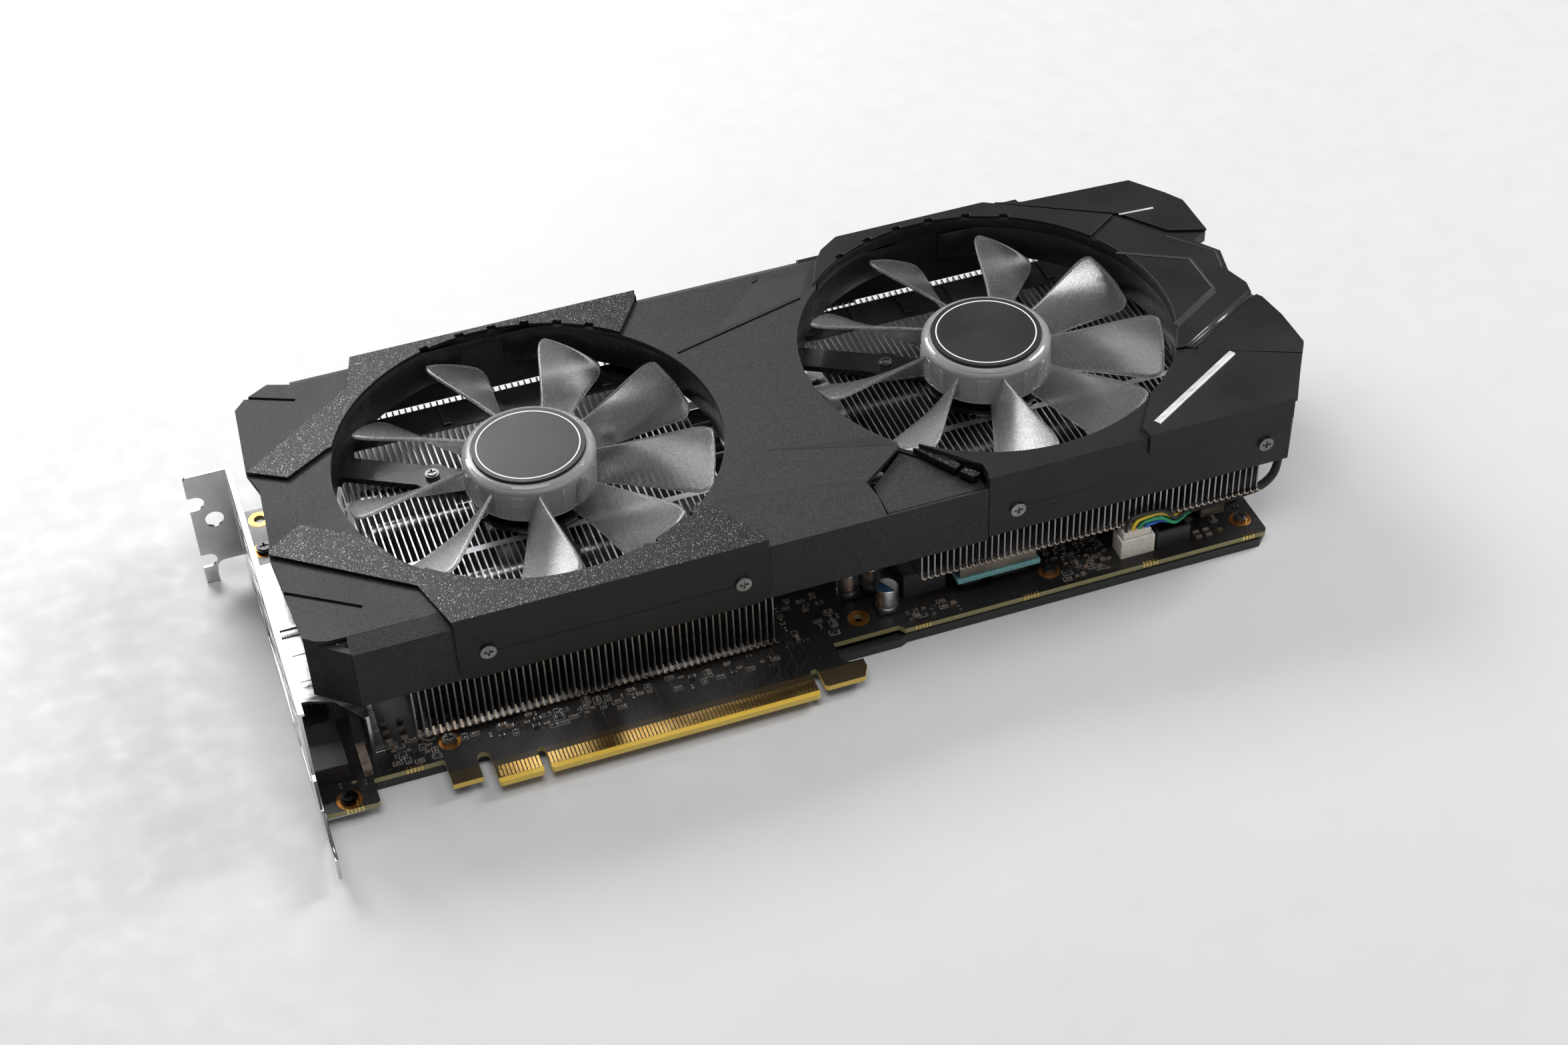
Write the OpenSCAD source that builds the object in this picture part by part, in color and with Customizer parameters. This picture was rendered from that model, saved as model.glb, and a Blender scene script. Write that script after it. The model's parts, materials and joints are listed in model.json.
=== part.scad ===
// Two-slot computer graphics card, lying on its backplate with the fans up.
// Datum of the dimensions below: x = 0 at the centre of the edge-connector key,
// y = 0 at the lower edge of the gold contacts, z = 0 at the component side of the board.
// The finished part is moved so that the origin is the bottom centre of its bounding box.

/* [Circuit board] */
// Thickness of the circuit board
board_t = 1.6; // [1.4:0.1:1.8]
// Right end of the board
board_right = 207; // [206:1:209]
// Left end of the board, behind the bracket
board_left = -55.6; // [-55.8:0.1:-55]
// Far long edge of the board
board_far = 125; // [124:0.5:126]
// Near long edge of the board, right of the connector
board_near = 14.4; // [14:0.1:15]
// Pitch of the edge contacts, a standard size
contact_pitch = 1; // [1:0.01:1]
// Width of one edge contact
contact_w = 0.7; // [0.6:0.05:0.75]
// Length of one edge contact
contact_len = 4.1; // [3.8:0.1:4.2]

/* [Bracket] */
// Thickness of the bracket sheet
bracket_t = 0.9; // [0.8:0.1:1]
// Outer face of the bracket
bracket_x = -57; // [-57:0.1:-56.9]
// Width of the two-slot bracket
bracket_w = 38.6; // [38:0.1:39]
// Distance between the two screw notches, a standard size
notch_pitch = 20.32; // [20.32:0.01:20.32]
// Height of the bracket's tab above the contacts
tab_y = 105.4; // [105:0.1:106]
// Tip of the bracket's tail below the contacts
tail_y = -15.9; // [-16.2:0.1:-15.5]
// Width of a screw notch
notch_w = 4.4; // [4.2:0.1:4.6]

/* [Shroud] */
// Top face of the grey shroud
shroud_top = 39; // [38.6:0.1:39.2]
// Thickness of the shroud walls
shroud_wall = 1.6; // [1.4:0.1:1.8]
// Near face of the shroud's long side wall
shroud_near = 19; // [18.8:0.1:19.2]
// Far face of the shroud's long side wall
shroud_far = 130.6; // [130:0.1:131]
// Lower edge of the side walls
skirt_z = 19.4; // [19:0.1:20]
// Upper edge of the grey side walls, under the bevel
bevel_z = 37; // [36.5:0.1:37.4]
// Thickness of the black trim pieces above the shroud
trim_t = 1.1; // [1:0.1:1.2]
// Rise of the black right end above the grey shroud
end_rise = 1.6; // [1.4:0.1:1.8]

/* [Fans] */
// Fan axis of the left fan along the card
fan_left_x = 19.5; // [19.3:0.1:19.7]
// Fan axis of the right fan along the card
fan_right_x = 149.5; // [149.3:0.1:149.7]
// Both fan axes across the card
fan_y = 77; // [76.9:0.1:77.1]
// Radius of the round opening in the shroud
opening_r = 51.8; // [51.6:0.1:52]
// Radius at the blade tips
blade_tip_r = 49.2; // [48.6:0.1:49.4]
// Radius of the clear fan hub
hub_r = 17.8; // [17.4:0.1:18]
// Number of blades on a fan
blade_count = 9; // [7:1:9]
// Radius of the fan shaft
shaft_r = 1.5; // [1.2:0.1:1.6]
// Radial running clearance of the shaft in its bearing
shaft_gap = 0.05; // [0.03:0.01:0.08]

/* [Cooler] */
// Pitch of the cooling fins
fin_pitch = 1.8; // [1.8:0.1:2]
// Thickness of one fin
fin_t = 0.4; // [0.3:0.05:0.45]
// Top of the fins
fin_top = 23; // [22.5:0.5:23]
// Outside radius of a heat pipe
pipe_r = 3; // [2.8:0.1:3]

/* [Hidden] */
$fn = 64;

// Heights
board_bottom = -board_t;
rim_gap = 0.3;
backplate_t = 1.2;
base_z = -4.5;
backplate_top = base_z + backplate_t;
bracket_z0 = -4.2;
bracket_z1 = bracket_z0 + bracket_w;
plate_z = shroud_top - shroud_wall;
trim_gap = 0.02;
trim_top = shroud_top + trim_t;
end_top = shroud_top + end_rise;
end_trim_top = end_top + trim_t;
duct_z = 27.6;
mount_t = 1.8;
mount_z = 23.4;
hub_top = 39.2;
hub_bottom = 28.4;
cap_floor = hub_top - 0.8;
hub_ceiling = hub_top - 2;

// Places
bracket_in = bracket_x + bracket_t;
tab_out = -68.5;
notch_high_z = 23.9;
notch_low_z = notch_high_z - notch_pitch;
end_right = 226.6;
seam_x = 126.4;
trim_far = shroud_far + 1;
left_fan = [fan_left_x, fan_y];
right_fan = [fan_right_x, fan_y];
screw_spots = [[202.1, 21.3], [145.4, 21.2], [-21, 18.4], [202.1, 118], [145.4, 118], [-21, 118]];
bracket_screw_spots = [[-49.2, 7.9], [-51.3, 107.4]];
open_hole = [91.3, 22.7];
open_hole_r = 1.3;
far_left_hole = [-50.3, 120.4];
far_left_hole_r = 1.6;
side_screw_z = 27.8;
left_side_screws = [-7.9, 58.9];
right_side_screws = [134.5, 205.9];

// Fine sizes
screw_r = 1.05;
screw_hole_r = 1.15;
duct_wall = 1.2;
hub_wall = 1.6;
mount_angles = [30, 150, 270];
mount_screw_r = 28;
opening_seg = 96;

// The origin goes to the bottom centre of the bounding box.
shift = [-(tab_out + end_right) / 2, -(tail_y + trim_far) / 2, -base_z];

module at_datum() {
    translate(shift) children();
}

module box(x0, x1, y0, y1, z0, z1) {
    translate([x0, y0, z0]) cube([x1 - x0, y1 - y0, z1 - z0]);
}

module plate(points, z0, z1) {
    translate([0, 0, z0]) linear_extrude(z1 - z0) polygon(points);
}

module drum(at, r, z0, z1, seg = 48) {
    translate([at[0], at[1], z0]) cylinder(h = z1 - z0, r = r, $fn = seg);
}

// Sweeps a section drawn in (y, z) along the card.
module along_x(x0, x1) {
    translate([x0, 0, 0]) rotate([90, 0, 90]) linear_extrude(x1 - x0) children();
}

// Stands a shape drawn in (x, z) up between two y values.
module along_y(y0, y1) {
    translate([0, y1, 0]) rotate([90, 0, 0]) linear_extrude(y1 - y0) children();
}

// A creased slab: p is its top outline in space, anticlockwise from above, and t its depth.
module slab(p, t) {
    n = len(p);
    top = [[for (i = [n - 1 : -1 : 0]) i]];
    low = [[for (i = [0 : n - 1]) n + i]];
    side = [for (i = [0 : n - 1]) [i, (i + 1) % n, n + (i + 1) % n, n + i]];
    polyhedron(points = concat(p, [for (q = p) q - [0, 0, t]]), faces = concat(top, low, side));
}

function arc(at, r, a0, a1, n) =
    [for (i = [0 : n]) let (a = a0 + (a1 - a0) * i / n) at + r * [cos(a), sin(a)]];

function polar(at, r, a) = at + r * [cos(a), sin(a)];

// ---- circuit board ----

board_outline = concat(
    [[board_left, 5], [-42.6, 4.4], [-42, 5], [-42, 12.6], [-24.2, 12.6], [-23.8, 12], [-23.8, 3.4],
        [-16, 3.4]],
    arc([-14.3, 10], 1.7, 180, 0, 8),
    [[-12.6, 0.6], [-12, 0], [-1.5, 0], [-0.95, 0.6]],
    arc([0, 7.2], 0.95, 180, 0, 8),
    [[0.95, 0.6], [1.5, 0], [72, 0], [72.6, 0.6]],
    arc([73.6, 8], 1, 180, 0, 8),
    [[74.6, 2.6], [75.4, 1.9], [85.4, 1.9], [87.2, 5.4], [87.2, 8.2], [83.4, 8.3], [81.8, 9.8],
        [81.8, 16.2], [100.2, 16.2], [101.4, board_near], [206.2, board_near],
        [board_right, board_near + 1.2], [board_right, board_far - 0.8],
        [board_right - 0.8, board_far], [board_left, board_far]]
);

module circuit_board() at_datum() color([0.06, 0.06, 0.07]) difference() {
    plate(board_outline, board_bottom, 0);
    for (p = screw_spots) drum(p, screw_hole_r, board_bottom - 1, 1);
    for (p = bracket_screw_spots) drum(p, 1.4, board_bottom - 1, 1);
    drum(open_hole, open_hole_r, board_bottom - 1, 1);
    drum(far_left_hole, far_left_hole_r, board_bottom - 1, 1);
    drum([195.2, 19.4], 0.85, board_bottom - 1, 1, 24);
}

// Eleven contacts before the key and seventy-one after it, on both faces.
contact_xs = concat(
    [for (i = [0 : 10]) -11.5 + i * contact_pitch],
    [for (i = [0 : 70]) 1.5 + i * contact_pitch]
);
contact_y = 1.5;
contact_t = 0.05;

module edge_contacts() at_datum() color([0.93, 0.7, 0.33])
    for (x = contact_xs) for (z = [0, board_bottom - contact_t])
        box(x - contact_w / 2, x + contact_w / 2, contact_y, contact_y + contact_len, z, z + contact_t);

// ---- backplate ----

function backplate_outline(s) = [[-41.5 + s, 12.8 + s], [99.6, 12.8 + s], [101.6, 13.8 + s],
    [204.5, 13.8 + s], [board_right + 0.4 - s, 16.8], [board_right + 0.4 - s, board_far - 2],
    [204.6, board_far + 0.6 - s], [-42 + s, board_far + 0.6 - s], [-42 + s, 102], [-49.5 + s, 96],
    [-49.5 + s, 24]];
rim_t = 1;

module backplate() at_datum() color([0.07, 0.07, 0.08]) difference() {
    union() {
        plate(backplate_outline(0), base_z, backplate_top);
        difference() {
            plate(backplate_outline(0), base_z, board_bottom - rim_gap);
            plate(backplate_outline(rim_t), base_z - 1, 0);
        }
        for (p = screw_spots) drum(p, 3, backplate_top - 0.2, board_bottom);
    }
    for (p = screw_spots) drum(p, screw_hole_r, base_z - 1, 1);
    drum(open_hole, open_hole_r, base_z - 1, 1);
    box(12, 56, 50, 94, base_z - 1, 0);
}

// ---- bracket ----

tab_profile = concat(
    [[tab_out, bracket_z0], [-64.8, bracket_z0], [-64.8, -1.6]],
    arc([-62.2, 0], 2.6, 150, 90, 4),
    [[bracket_in, 2.6], [bracket_in, bracket_z1 - 1], [tab_out + 0.8, bracket_z1 - 1],
        [tab_out, bracket_z1 - 1.8]]
);

// Face of the bracket, in (y, z): the narrow tail first, then the two-slot plate.
bracket_face = [[tail_y, -1], [-10, -1.6], [-3, -2.4], [2, bracket_z0], [tab_y, bracket_z0],
    [tab_y, bracket_z1], [6.6, bracket_z1], [6.6, 13.5], [5, 12.6], [0, 7.2], [-6, 6.8], [tail_y, 5.8]];
foot_z = board_bottom - 0.9;
vent_rows = [19, 25];
vent_count = 9;
vent_pitch = 9.6;

// Mouths of the sockets: y from, y to, z from, z to.
socket_near = [14.8, 30.4, 0.2, 5.6];
socket_wide = [36.4, 73, 0.2, 11.8];
socket_far = [78.4, 93.6, 0.2, 6.2];
sockets = [socket_near, socket_wide, socket_far];

module screw_notch(z) {
    along_y(tab_y - bracket_t - 1, tab_y + 1)
        polygon(concat([[tab_out - 1, z - notch_w / 2]],
            arc([tab_out + 2, z], notch_w / 2, -90, 90, 12),
            [[tab_out - 1, z + notch_w / 2]]));
}

module io_bracket() at_datum() color([0.75, 0.75, 0.77]) difference() {
    union() {
        along_x(bracket_x, bracket_in) polygon(bracket_face);
        along_y(tab_y - bracket_t, tab_y) polygon(tab_profile);
        box(bracket_in - 0.1, bracket_in + 0.7, 6.6, 103.6, bracket_z1 - bracket_t, bracket_z1);
        box(bracket_in - 0.1, -45.6, 5.2, 11.2, foot_z, board_bottom);
        plate([[bracket_in - 0.1, 98], [-50, 98], [-47.6, 104], [-47.6, 110.4], [-54.6, 110.4],
            [-55, 103], [bracket_in - 0.1, 103]], foot_z, board_bottom);
    }
    screw_notch(notch_high_z);
    screw_notch(notch_low_z);
    translate([-62.6, tab_y + 1, 17.4]) rotate([90, 0, 0]) cylinder(h = 4, r = 2.5, $fn = 48);
    for (m = sockets) box(bracket_x - 1, bracket_in + 0.5, m[0], m[1], m[2], m[3]);
    for (z = vent_rows) for (i = [0 : vent_count - 1])
        box(bracket_x - 1, bracket_in + 0.5, 12 + i * vent_pitch, 19 + i * vent_pitch, z, z + 3.4);
    for (p = bracket_screw_spots) drum(p, 1.4, foot_z - 1, board_bottom + 1);
}

module socket_shield() at_datum() color([0.55, 0.55, 0.57]) difference() {
    union() {
        plate([[-55.8, 31.4], [-53, 31.2], [-47, 29], [-40.4, 20.4], [-39.4, 20.4], [-39.4, 60],
            [-55.8, 60]], 13.1, 14);
        box(-40.3, -39.4, 20.4, 60, 0, 13.5);
        box(-40.3, -37, 20.4, 38.4, 0, 0.9);
    }
    box(-54.8, -41.6, 38, 59, 12, 15);
}

// ---- sockets ----

// A shell open towards the bracket, with a closed back and a contact tongue.
module socket_shell(m, depth, wall) {
    x0 = bracket_in;
    back = x0 + depth;
    difference() {
        box(x0, back, m[0] - 0.3, m[1] + 0.3, 0, m[3] + 0.4);
        box(x0 - 1, back - 2, m[0] + wall, m[1] - wall, m[2] + wall, m[3] - wall);
    }
    box(x0 + 2, back - 1.9, m[0] + 3, m[1] - 3, (m[2] + m[3]) / 2 - 0.5, (m[2] + m[3]) / 2 + 0.5);
}

module near_display_socket() at_datum() color([0.3, 0.3, 0.32]) socket_shell(socket_near, 9, 0.3);

module wide_video_socket() at_datum() color([0.8, 0.8, 0.82]) difference() {
    socket_shell(socket_wide, 13, 0.6);
    for (y = [40, 50]) box(-53, -46, y - 0.4, y + 0.4, 12, 14);
}

module far_display_socket() at_datum() color([0.8, 0.8, 0.82]) socket_shell(socket_far, 13, 0.3);

socket_cell = 4.2;
module power_socket(x0, columns) {
    difference() {
        box(x0, x0 + columns * socket_cell + 1.6, 112.5, 127.5, 0, 12.2);
        for (i = [0 : columns - 1]) for (z = [1.8, 6.6])
            box(x0 + 1 + i * socket_cell, x0 + 4.6 + i * socket_cell, 116, 128, z, z + 3.8);
    }
    for (i = [0 : columns - 1]) for (z = [3.4, 8.2])
        box(x0 + 2.3 + i * socket_cell, x0 + 3.3 + i * socket_cell, 115.5, 125, z, z + 0.6);
}

module power_socket_8pin() at_datum() color([0.08, 0.08, 0.08]) power_socket(156, 4);
module power_socket_6pin() at_datum() color([0.08, 0.08, 0.08]) power_socket(178, 3);

// ---- shroud ----

near_in = shroud_near + shroud_wall;
far_in = shroud_far - shroud_wall;
slope_y = 24.1;
far_slope_y = 126;
far_bevel_z = bevel_z - 0.6;
near_section = [[shroud_near, skirt_z], [near_in, skirt_z], [near_in, bevel_z - 0.9],
    [slope_y, plate_z], [slope_y, shroud_top], [shroud_near, bevel_z]];
near_plain_section = [[shroud_near, skirt_z], [near_in, skirt_z], [near_in, bevel_z - 0.8],
    [shroud_near, bevel_z]];
far_section = [[shroud_far, skirt_z], [shroud_far, far_bevel_z], [far_slope_y, shroud_top],
    [far_slope_y, plate_z], [far_in, far_bevel_z - 0.6], [far_in, skirt_z]];
far_shell_section = [[shroud_far, skirt_z], [shroud_far, end_top - 0.8], [far_in, end_top - 0.8],
    [far_in, skirt_z]];

body_outline = [[-51, 27.4], [-48.2, 25.1], [-45.4, 24.2], [-40.8, 24], [63.4, 24], [56, 38.4],
    [92.4, 32.4], [97.2, 31], [110.2, 41.6], [112.6, 112.5], [118.6, 126.2], [-34, 126.2],
    [-40.2, 128.6], [-47.2, 124.4], [-50.4, 120.6], [-52.4, 94], [-50.4, 85.6], [-51.8, 66], [-53, 58]];
corner_wall = [[-51, 27.4], [-48.2, 25.1], [-40.9, shroud_near], [-40.7, near_in + 0.4],
    [-46.2, 26.4], [-49.4, 28.8]];
front_band = [[56, 38.6, shroud_top], [66.2, shroud_near, bevel_z], [98.4, shroud_near, bevel_z],
    [98.4, 26, 38.2], [97.2, 31.2, shroud_top], [92.4, 32.6, shroud_top]];
facet_recess = [[98.6, near_in + 0.1], [seam_x + 1, near_in + 0.1], [seam_x + 1, 44], [112.5, 44],
    [110.4, 41.4], [98.6, 31.6]];

module fan_cut(at, r = opening_r) {
    drum(at, r, skirt_z - 1, end_trim_top + 1, opening_seg);
}

module side_hole(x) {
    along_y(shroud_near - 2, near_in + 1) translate([x, side_screw_z]) circle(r = 1.1, $fn = 32);
}

module shroud_body() at_datum() color([0.3, 0.3, 0.31]) difference() {
    union() {
        plate(body_outline, plate_z, shroud_top);
        along_x(-40.8, 66.3) polygon(near_section);
        along_x(66.2, seam_x - 0.1) polygon(near_plain_section);
        along_x(-34, 118.6) polygon(far_section);
        along_x(-16.6, 65) polygon([[shroud_far, skirt_z], [shroud_far, shroud_top], [far_in, shroud_top],
            [far_in, skirt_z]]);
        plate(corner_wall, skirt_z, plate_z + 0.1);
        slab(front_band, shroud_wall);
    }
    fan_cut(left_fan);
    fan_cut(right_fan);
    for (x = left_side_screws) side_hole(x);
    plate(facet_recess, plate_z - 2.4, shroud_top + 1);
    // Slot grooves on the two left corners, and the long groove between the fans
    translate([-52.4, 44.4, shroud_top - 0.6]) rotate(-34.6) cube([21, 1.1, 2]);
    translate([-48.6, 125.2, shroud_top - 0.6]) rotate(-25) cube([15.6, 1.1, 2]);
    translate([68.2, 99.6, shroud_top - 0.5]) rotate(15.5) cube([41, 0.9, 2]);
}

shell_outline = [[119.2, 126.4], [112.9, 112.4], [112.9, 40.6], [seam_x + 0.6, 25],
    [seam_x + 0.6, shroud_near], [213.4, shroud_near], [222.4, 33.2], [end_right, 39.4],
    [end_right, 52.3], [225.4, 61.8], [223.4, 64.4], [224, 69], [222, 76], [224, 85.4], [219, 92.8],
    [224.8, 95.6], [224.8, 111], [221.6, 116.6], [214.6, 126.2], [181.6, 127.6], [181, shroud_far],
    [125.8, shroud_far]];

module right_shell() at_datum() color([0.07, 0.07, 0.08]) difference() {
    union() {
        plate(shell_outline, plate_z, end_top);
        along_x(seam_x + 0.1, 213.2) polygon([[shroud_near, skirt_z + 1], [near_in, skirt_z + 1],
            [near_in, end_top], [shroud_near, end_top]]);
        along_x(130, 181) polygon(far_shell_section);
        plate([[213.2, shroud_near], [222.4, 33.2], [221, 34.2], [212.2, near_in]],
            skirt_z + 1, plate_z + 0.1);
        plate([[222.4, 33.2], [end_right, 39.4], [end_right, 52.3], [end_right - 1.6, 52.3],
            [end_right - 1.6, 40], [221, 34.2]], 26, plate_z + 0.1);
    }
    fan_cut(right_fan);
    for (x = right_side_screws) side_hole(x);
}

// ---- black trim pieces ----

notch_size = [2.2, 2.4];
module ring_notches(at, angles, z0, z1) {
    for (a = angles) translate([at[0], at[1], z0]) rotate(a)
        translate([opening_r - 1, -notch_size[1] / 2, 0]) cube([notch_size[0], notch_size[1], z1 - z0]);
}

module trim_upper_left() at_datum() color([0.1, 0.1, 0.1]) difference() {
    plate([[-52.4, 93], [-42.6, 86.9], [-30.4, 94.7], [30, 110], [54.6, 112], [63.6, 126.1],
        [65.1, trim_far - 0.7], [-16.6, trim_far - 0.7], [-20.2, 118.3]], shroud_top + trim_gap, trim_top);
    fan_cut(left_fan);
    ring_notches(left_fan, [56, 66, 76, 86, 96, 108], shroud_top, trim_top + 1);
}

side_panel = concat([[-15.6, trim_top - 0.3]], arc([-11.6, skirt_z + 4], 4, 180, 270, 6),
    arc([62.2, skirt_z + 4], 4, 270, 360, 6), [[66.2, trim_top - 0.3]]);

module trim_lower_left() at_datum() color([0.09, 0.09, 0.09]) difference() {
    union() {
        plate([[-52.9, 59.2], [-20.4, 34.3], [-15.8, 18.2], [66.4, 18.2], [56, 38.2], [10, 40],
            [-20, 40], [-28.5, 57], [-43.2, 67.6], [-52.6, 61]], shroud_top + trim_gap, trim_top);
        along_y(shroud_near - 0.8, shroud_near - 0.02) polygon(side_panel);
    }
    fan_cut(left_fan);
    ring_notches(left_fan, [-68, -54], shroud_top, trim_top + 1);
    for (x = left_side_screws) side_hole(x);
}

module trim_ring_right() at_datum() color([0.08, 0.08, 0.08]) difference() {
    plate([[111.8, 112.5], [150, 108], [186, 100], [193.6, 105.2], [203.5, 111.9], [171, trim_far],
        [125.8, trim_far], [119.5, 127.1], [116.2, 122.3]], end_top + trim_gap, end_trim_top);
    fan_cut(right_fan);
    ring_notches(right_fan, [62, 74, 86, 97, 108, 120], end_top, end_trim_top + 1);
}

module trim_end_far() at_datum() color([0.07, 0.07, 0.08])
    plate([[174, 130.4], [205, 112.2], [214.8, 99.3], [225.2, 95.6], [225.2, 111], [221.9, 116.6],
        [214.8, 126.1], [181.7, 127.7]], end_top + trim_gap, end_top + 0.9);

module trim_end_middle() at_datum() color([0.07, 0.07, 0.08]) difference() {
    plate([[190, 50], [196.8, 49.2], [223.5, 64.4], [224.3, 69.1], [222.2, 76], [224.3, 85.4],
        [219.1, 92.8], [213.6, 98.4], [203.6, 110.8], [194.4, 104.4]], end_top + trim_gap, end_top + 0.7);
    fan_cut(right_fan);
}

module trim_end_near() at_datum() color([0.08, 0.08, 0.09]) difference() {
    union() {
        plate([[171.2, 18.2], [213.6, 18.2], [223.4, 34.6], [195.2, 47.9], [180, 36], [170.8, 22.4]],
            end_top + trim_gap, end_trim_top);
        box(171.2, 213, shroud_near - 0.8, shroud_near - 0.02, 35.2, end_trim_top);
    }
    fan_cut(right_fan);
}

module trim_end_bar() at_datum() color([0.09, 0.09, 0.1])
    plate([[199.4, 48.6], [198.4, 46.8], [223.9, 35.2], [end_right, 39.6], [end_right, 52.3],
        [225.4, 61.2], [224.2, 63.2]], end_top + trim_gap, end_top + 0.9);

module lower_facet_panel() at_datum() color([0.25, 0.25, 0.26]) difference() {
    slab([for (p = [[99.2, near_in + 0.2], [126, near_in + 0.2], [126, 26], [112.4, 43], [99.2, 31.2]])
        [p[0], p[1], 36.2 + (p[1] - near_in - 0.2) * 0.045]], 1.4);
    drum(right_fan, opening_r + duct_wall + 0.4, skirt_z, end_top, opening_seg);
}

// ---- fans ----

// The round wall below an opening; the long walls of the shroud close it where they meet.
module fan_duct(at) difference() {
    drum(at, opening_r + duct_wall, duct_z, plate_z, opening_seg);
    drum(at, opening_r, duct_z - 1, end_top, opening_seg);
    box(at[0] - 60, at[0] + 60, far_in, far_in + 9, duct_z - 1, end_top);
    along_x(at[0] - 60, at[0] + 60) polygon(far_section);
    along_x(at[0] - 60, at[0] + 60) polygon(near_section);
    box(at[0] - 20, at[0] + 20, far_in - 0.6, far_in + 9, duct_z - 1, end_top);
}

module left_fan_duct() at_datum() color([0.05, 0.05, 0.05]) fan_duct(left_fan);
module right_fan_duct() at_datum() color([0.05, 0.05, 0.05]) fan_duct(right_fan);

// Three arms carry the motor and stand on the lower edge of the duct.
module motor_mount(at) translate([at[0], at[1], mount_z]) difference() {
    union() {
        cylinder(h = mount_t, r = hub_r - 1);
        for (a = mount_angles) rotate(a) {
            translate([10, -4, 0]) cube([opening_r - 9, 8, mount_t]);
            translate([mount_screw_r, 0, 0]) cylinder(h = mount_t, r = 5, $fn = 32);
            translate([opening_r, -6, 0]) cube([duct_wall, 12, duct_z - mount_z]);
        }
    }
    translate([0, 0, 0.6]) cylinder(h = 9, r = shaft_r + 1.95);
    for (a = mount_angles) rotate(a) translate([mount_screw_r, 0, -1]) cylinder(h = 5, r = 1.1, $fn = 32);
}

module left_motor_mount() at_datum() color([0.06, 0.06, 0.06]) motor_mount(left_fan);
module right_motor_mount() at_datum() color([0.06, 0.06, 0.06]) motor_mount(right_fan);

// A blade is a thin swept surface from the hub wall to the tip; its angles are in degrees about the axis.
blade_rows = 8;
blade_cols = 6;
blade_t = 1.1;
blade_phase = 32;
blade_low = 28;
blade_high = 37.2;
function blade_radius(t) = hub_r - 0.6 + t * (blade_tip_r - hub_r + 0.6);
function blade_lead(t) = -8 * (1 - t) * (1 - t);
function blade_trail(t) = -19 - 3 * t;
function blade_z(u) = blade_low + (blade_high - blade_low) * (1.25 * u - 0.25 * u * u);
function blade_point(t, u, lift) =
    let (a = blade_trail(t) + (blade_lead(t) - blade_trail(t)) * u)
    concat(polar([0, 0], blade_radius(t), a), blade_z(u) + lift);
function blade_id(i, j) = i * (blade_cols + 1) + j;

module blade() {
    per = (blade_rows + 1) * (blade_cols + 1);
    ts = [for (i = [0 : blade_rows]) i / blade_rows];
    us = [for (j = [0 : blade_cols]) j / blade_cols];
    quads = [for (i = [0 : blade_rows - 1]) for (j = [0 : blade_cols - 1])
        [blade_id(i, j), blade_id(i, j + 1), blade_id(i + 1, j + 1), blade_id(i + 1, j)]];
    rim = concat(
        [for (i = [0 : blade_rows - 1]) [blade_id(i, 0), blade_id(i + 1, 0)]],
        [for (j = [0 : blade_cols - 1]) [blade_id(blade_rows, j), blade_id(blade_rows, j + 1)]],
        [for (i = [blade_rows : -1 : 1]) [blade_id(i, blade_cols), blade_id(i - 1, blade_cols)]],
        [for (j = [blade_cols : -1 : 1]) [blade_id(0, j), blade_id(0, j - 1)]]
    );
    polyhedron(
        points = concat([for (t = ts) for (u = us) blade_point(t, u, blade_t / 2)],
            [for (t = ts) for (u = us) blade_point(t, u, -blade_t / 2)]),
        faces = concat(
            [for (q = quads) for (k = [[0, 1, 2], [0, 2, 3]]) [for (m = k) q[m]]],
            [for (q = quads) for (k = [[2, 1, 0], [3, 2, 0]]) [for (m = k) per + q[m]]],
            [for (e = rim) for (k = [[e[0], e[1], per + e[1]], [e[0], per + e[1], per + e[0]]]) k]),
        convexity = 4);
}

module fan_rotor(at) translate([at[0], at[1], 0]) {
    difference() {
        union() {
            drum([0, 0], hub_r, hub_bottom, hub_top - 1, opening_seg);
            drum([0, 0], hub_r - 1.2, hub_top - 1.2, hub_top, opening_seg);
        }
        drum([0, 0], hub_r - hub_wall, hub_bottom - 1, hub_ceiling, opening_seg);
        drum([0, 0], shaft_r + 0.6, hub_bottom - 1, hub_top + 1);
        drum([0, 0], 15.2, cap_floor, hub_top + 1, opening_seg);
    }
    for (i = [0 : blade_count - 1]) rotate(blade_phase + i * 360 / blade_count) blade();
}

module left_fan_rotor() at_datum() color([0.8, 0.8, 0.82]) fan_rotor(left_fan);
module right_fan_rotor() at_datum() color([0.8, 0.8, 0.82]) fan_rotor(right_fan);

module hub_cap(at) drum(at, 15.1, cap_floor, hub_top + 0.7, opening_seg);
module left_hub_cap() at_datum() color([0.2, 0.2, 0.21]) hub_cap(left_fan);
module right_hub_cap() at_datum() color([0.2, 0.2, 0.21]) hub_cap(right_fan);

module magnet_cup(at) difference() {
    drum(at, 15.8, hub_bottom + 0.4, hub_ceiling, opening_seg);
    drum(at, 14.2, hub_bottom - 1, hub_ceiling - 1.2, opening_seg);
    drum(at, 4.2, hub_bottom - 1, hub_top);
}
module left_magnet_cup() at_datum() color([0.35, 0.35, 0.36]) magnet_cup(left_fan);
module right_magnet_cup() at_datum() color([0.35, 0.35, 0.36]) magnet_cup(right_fan);

// The flange of the shaft bears on the ceiling of the hub.
module fan_shaft(at) {
    drum(at, shaft_r, mount_z + 1, cap_floor);
    drum(at, 4, hub_ceiling - 1, hub_ceiling);
}
module left_fan_shaft() at_datum() color([0.7, 0.7, 0.7]) fan_shaft(left_fan);
module right_fan_shaft() at_datum() color([0.7, 0.7, 0.7]) fan_shaft(right_fan);

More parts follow.
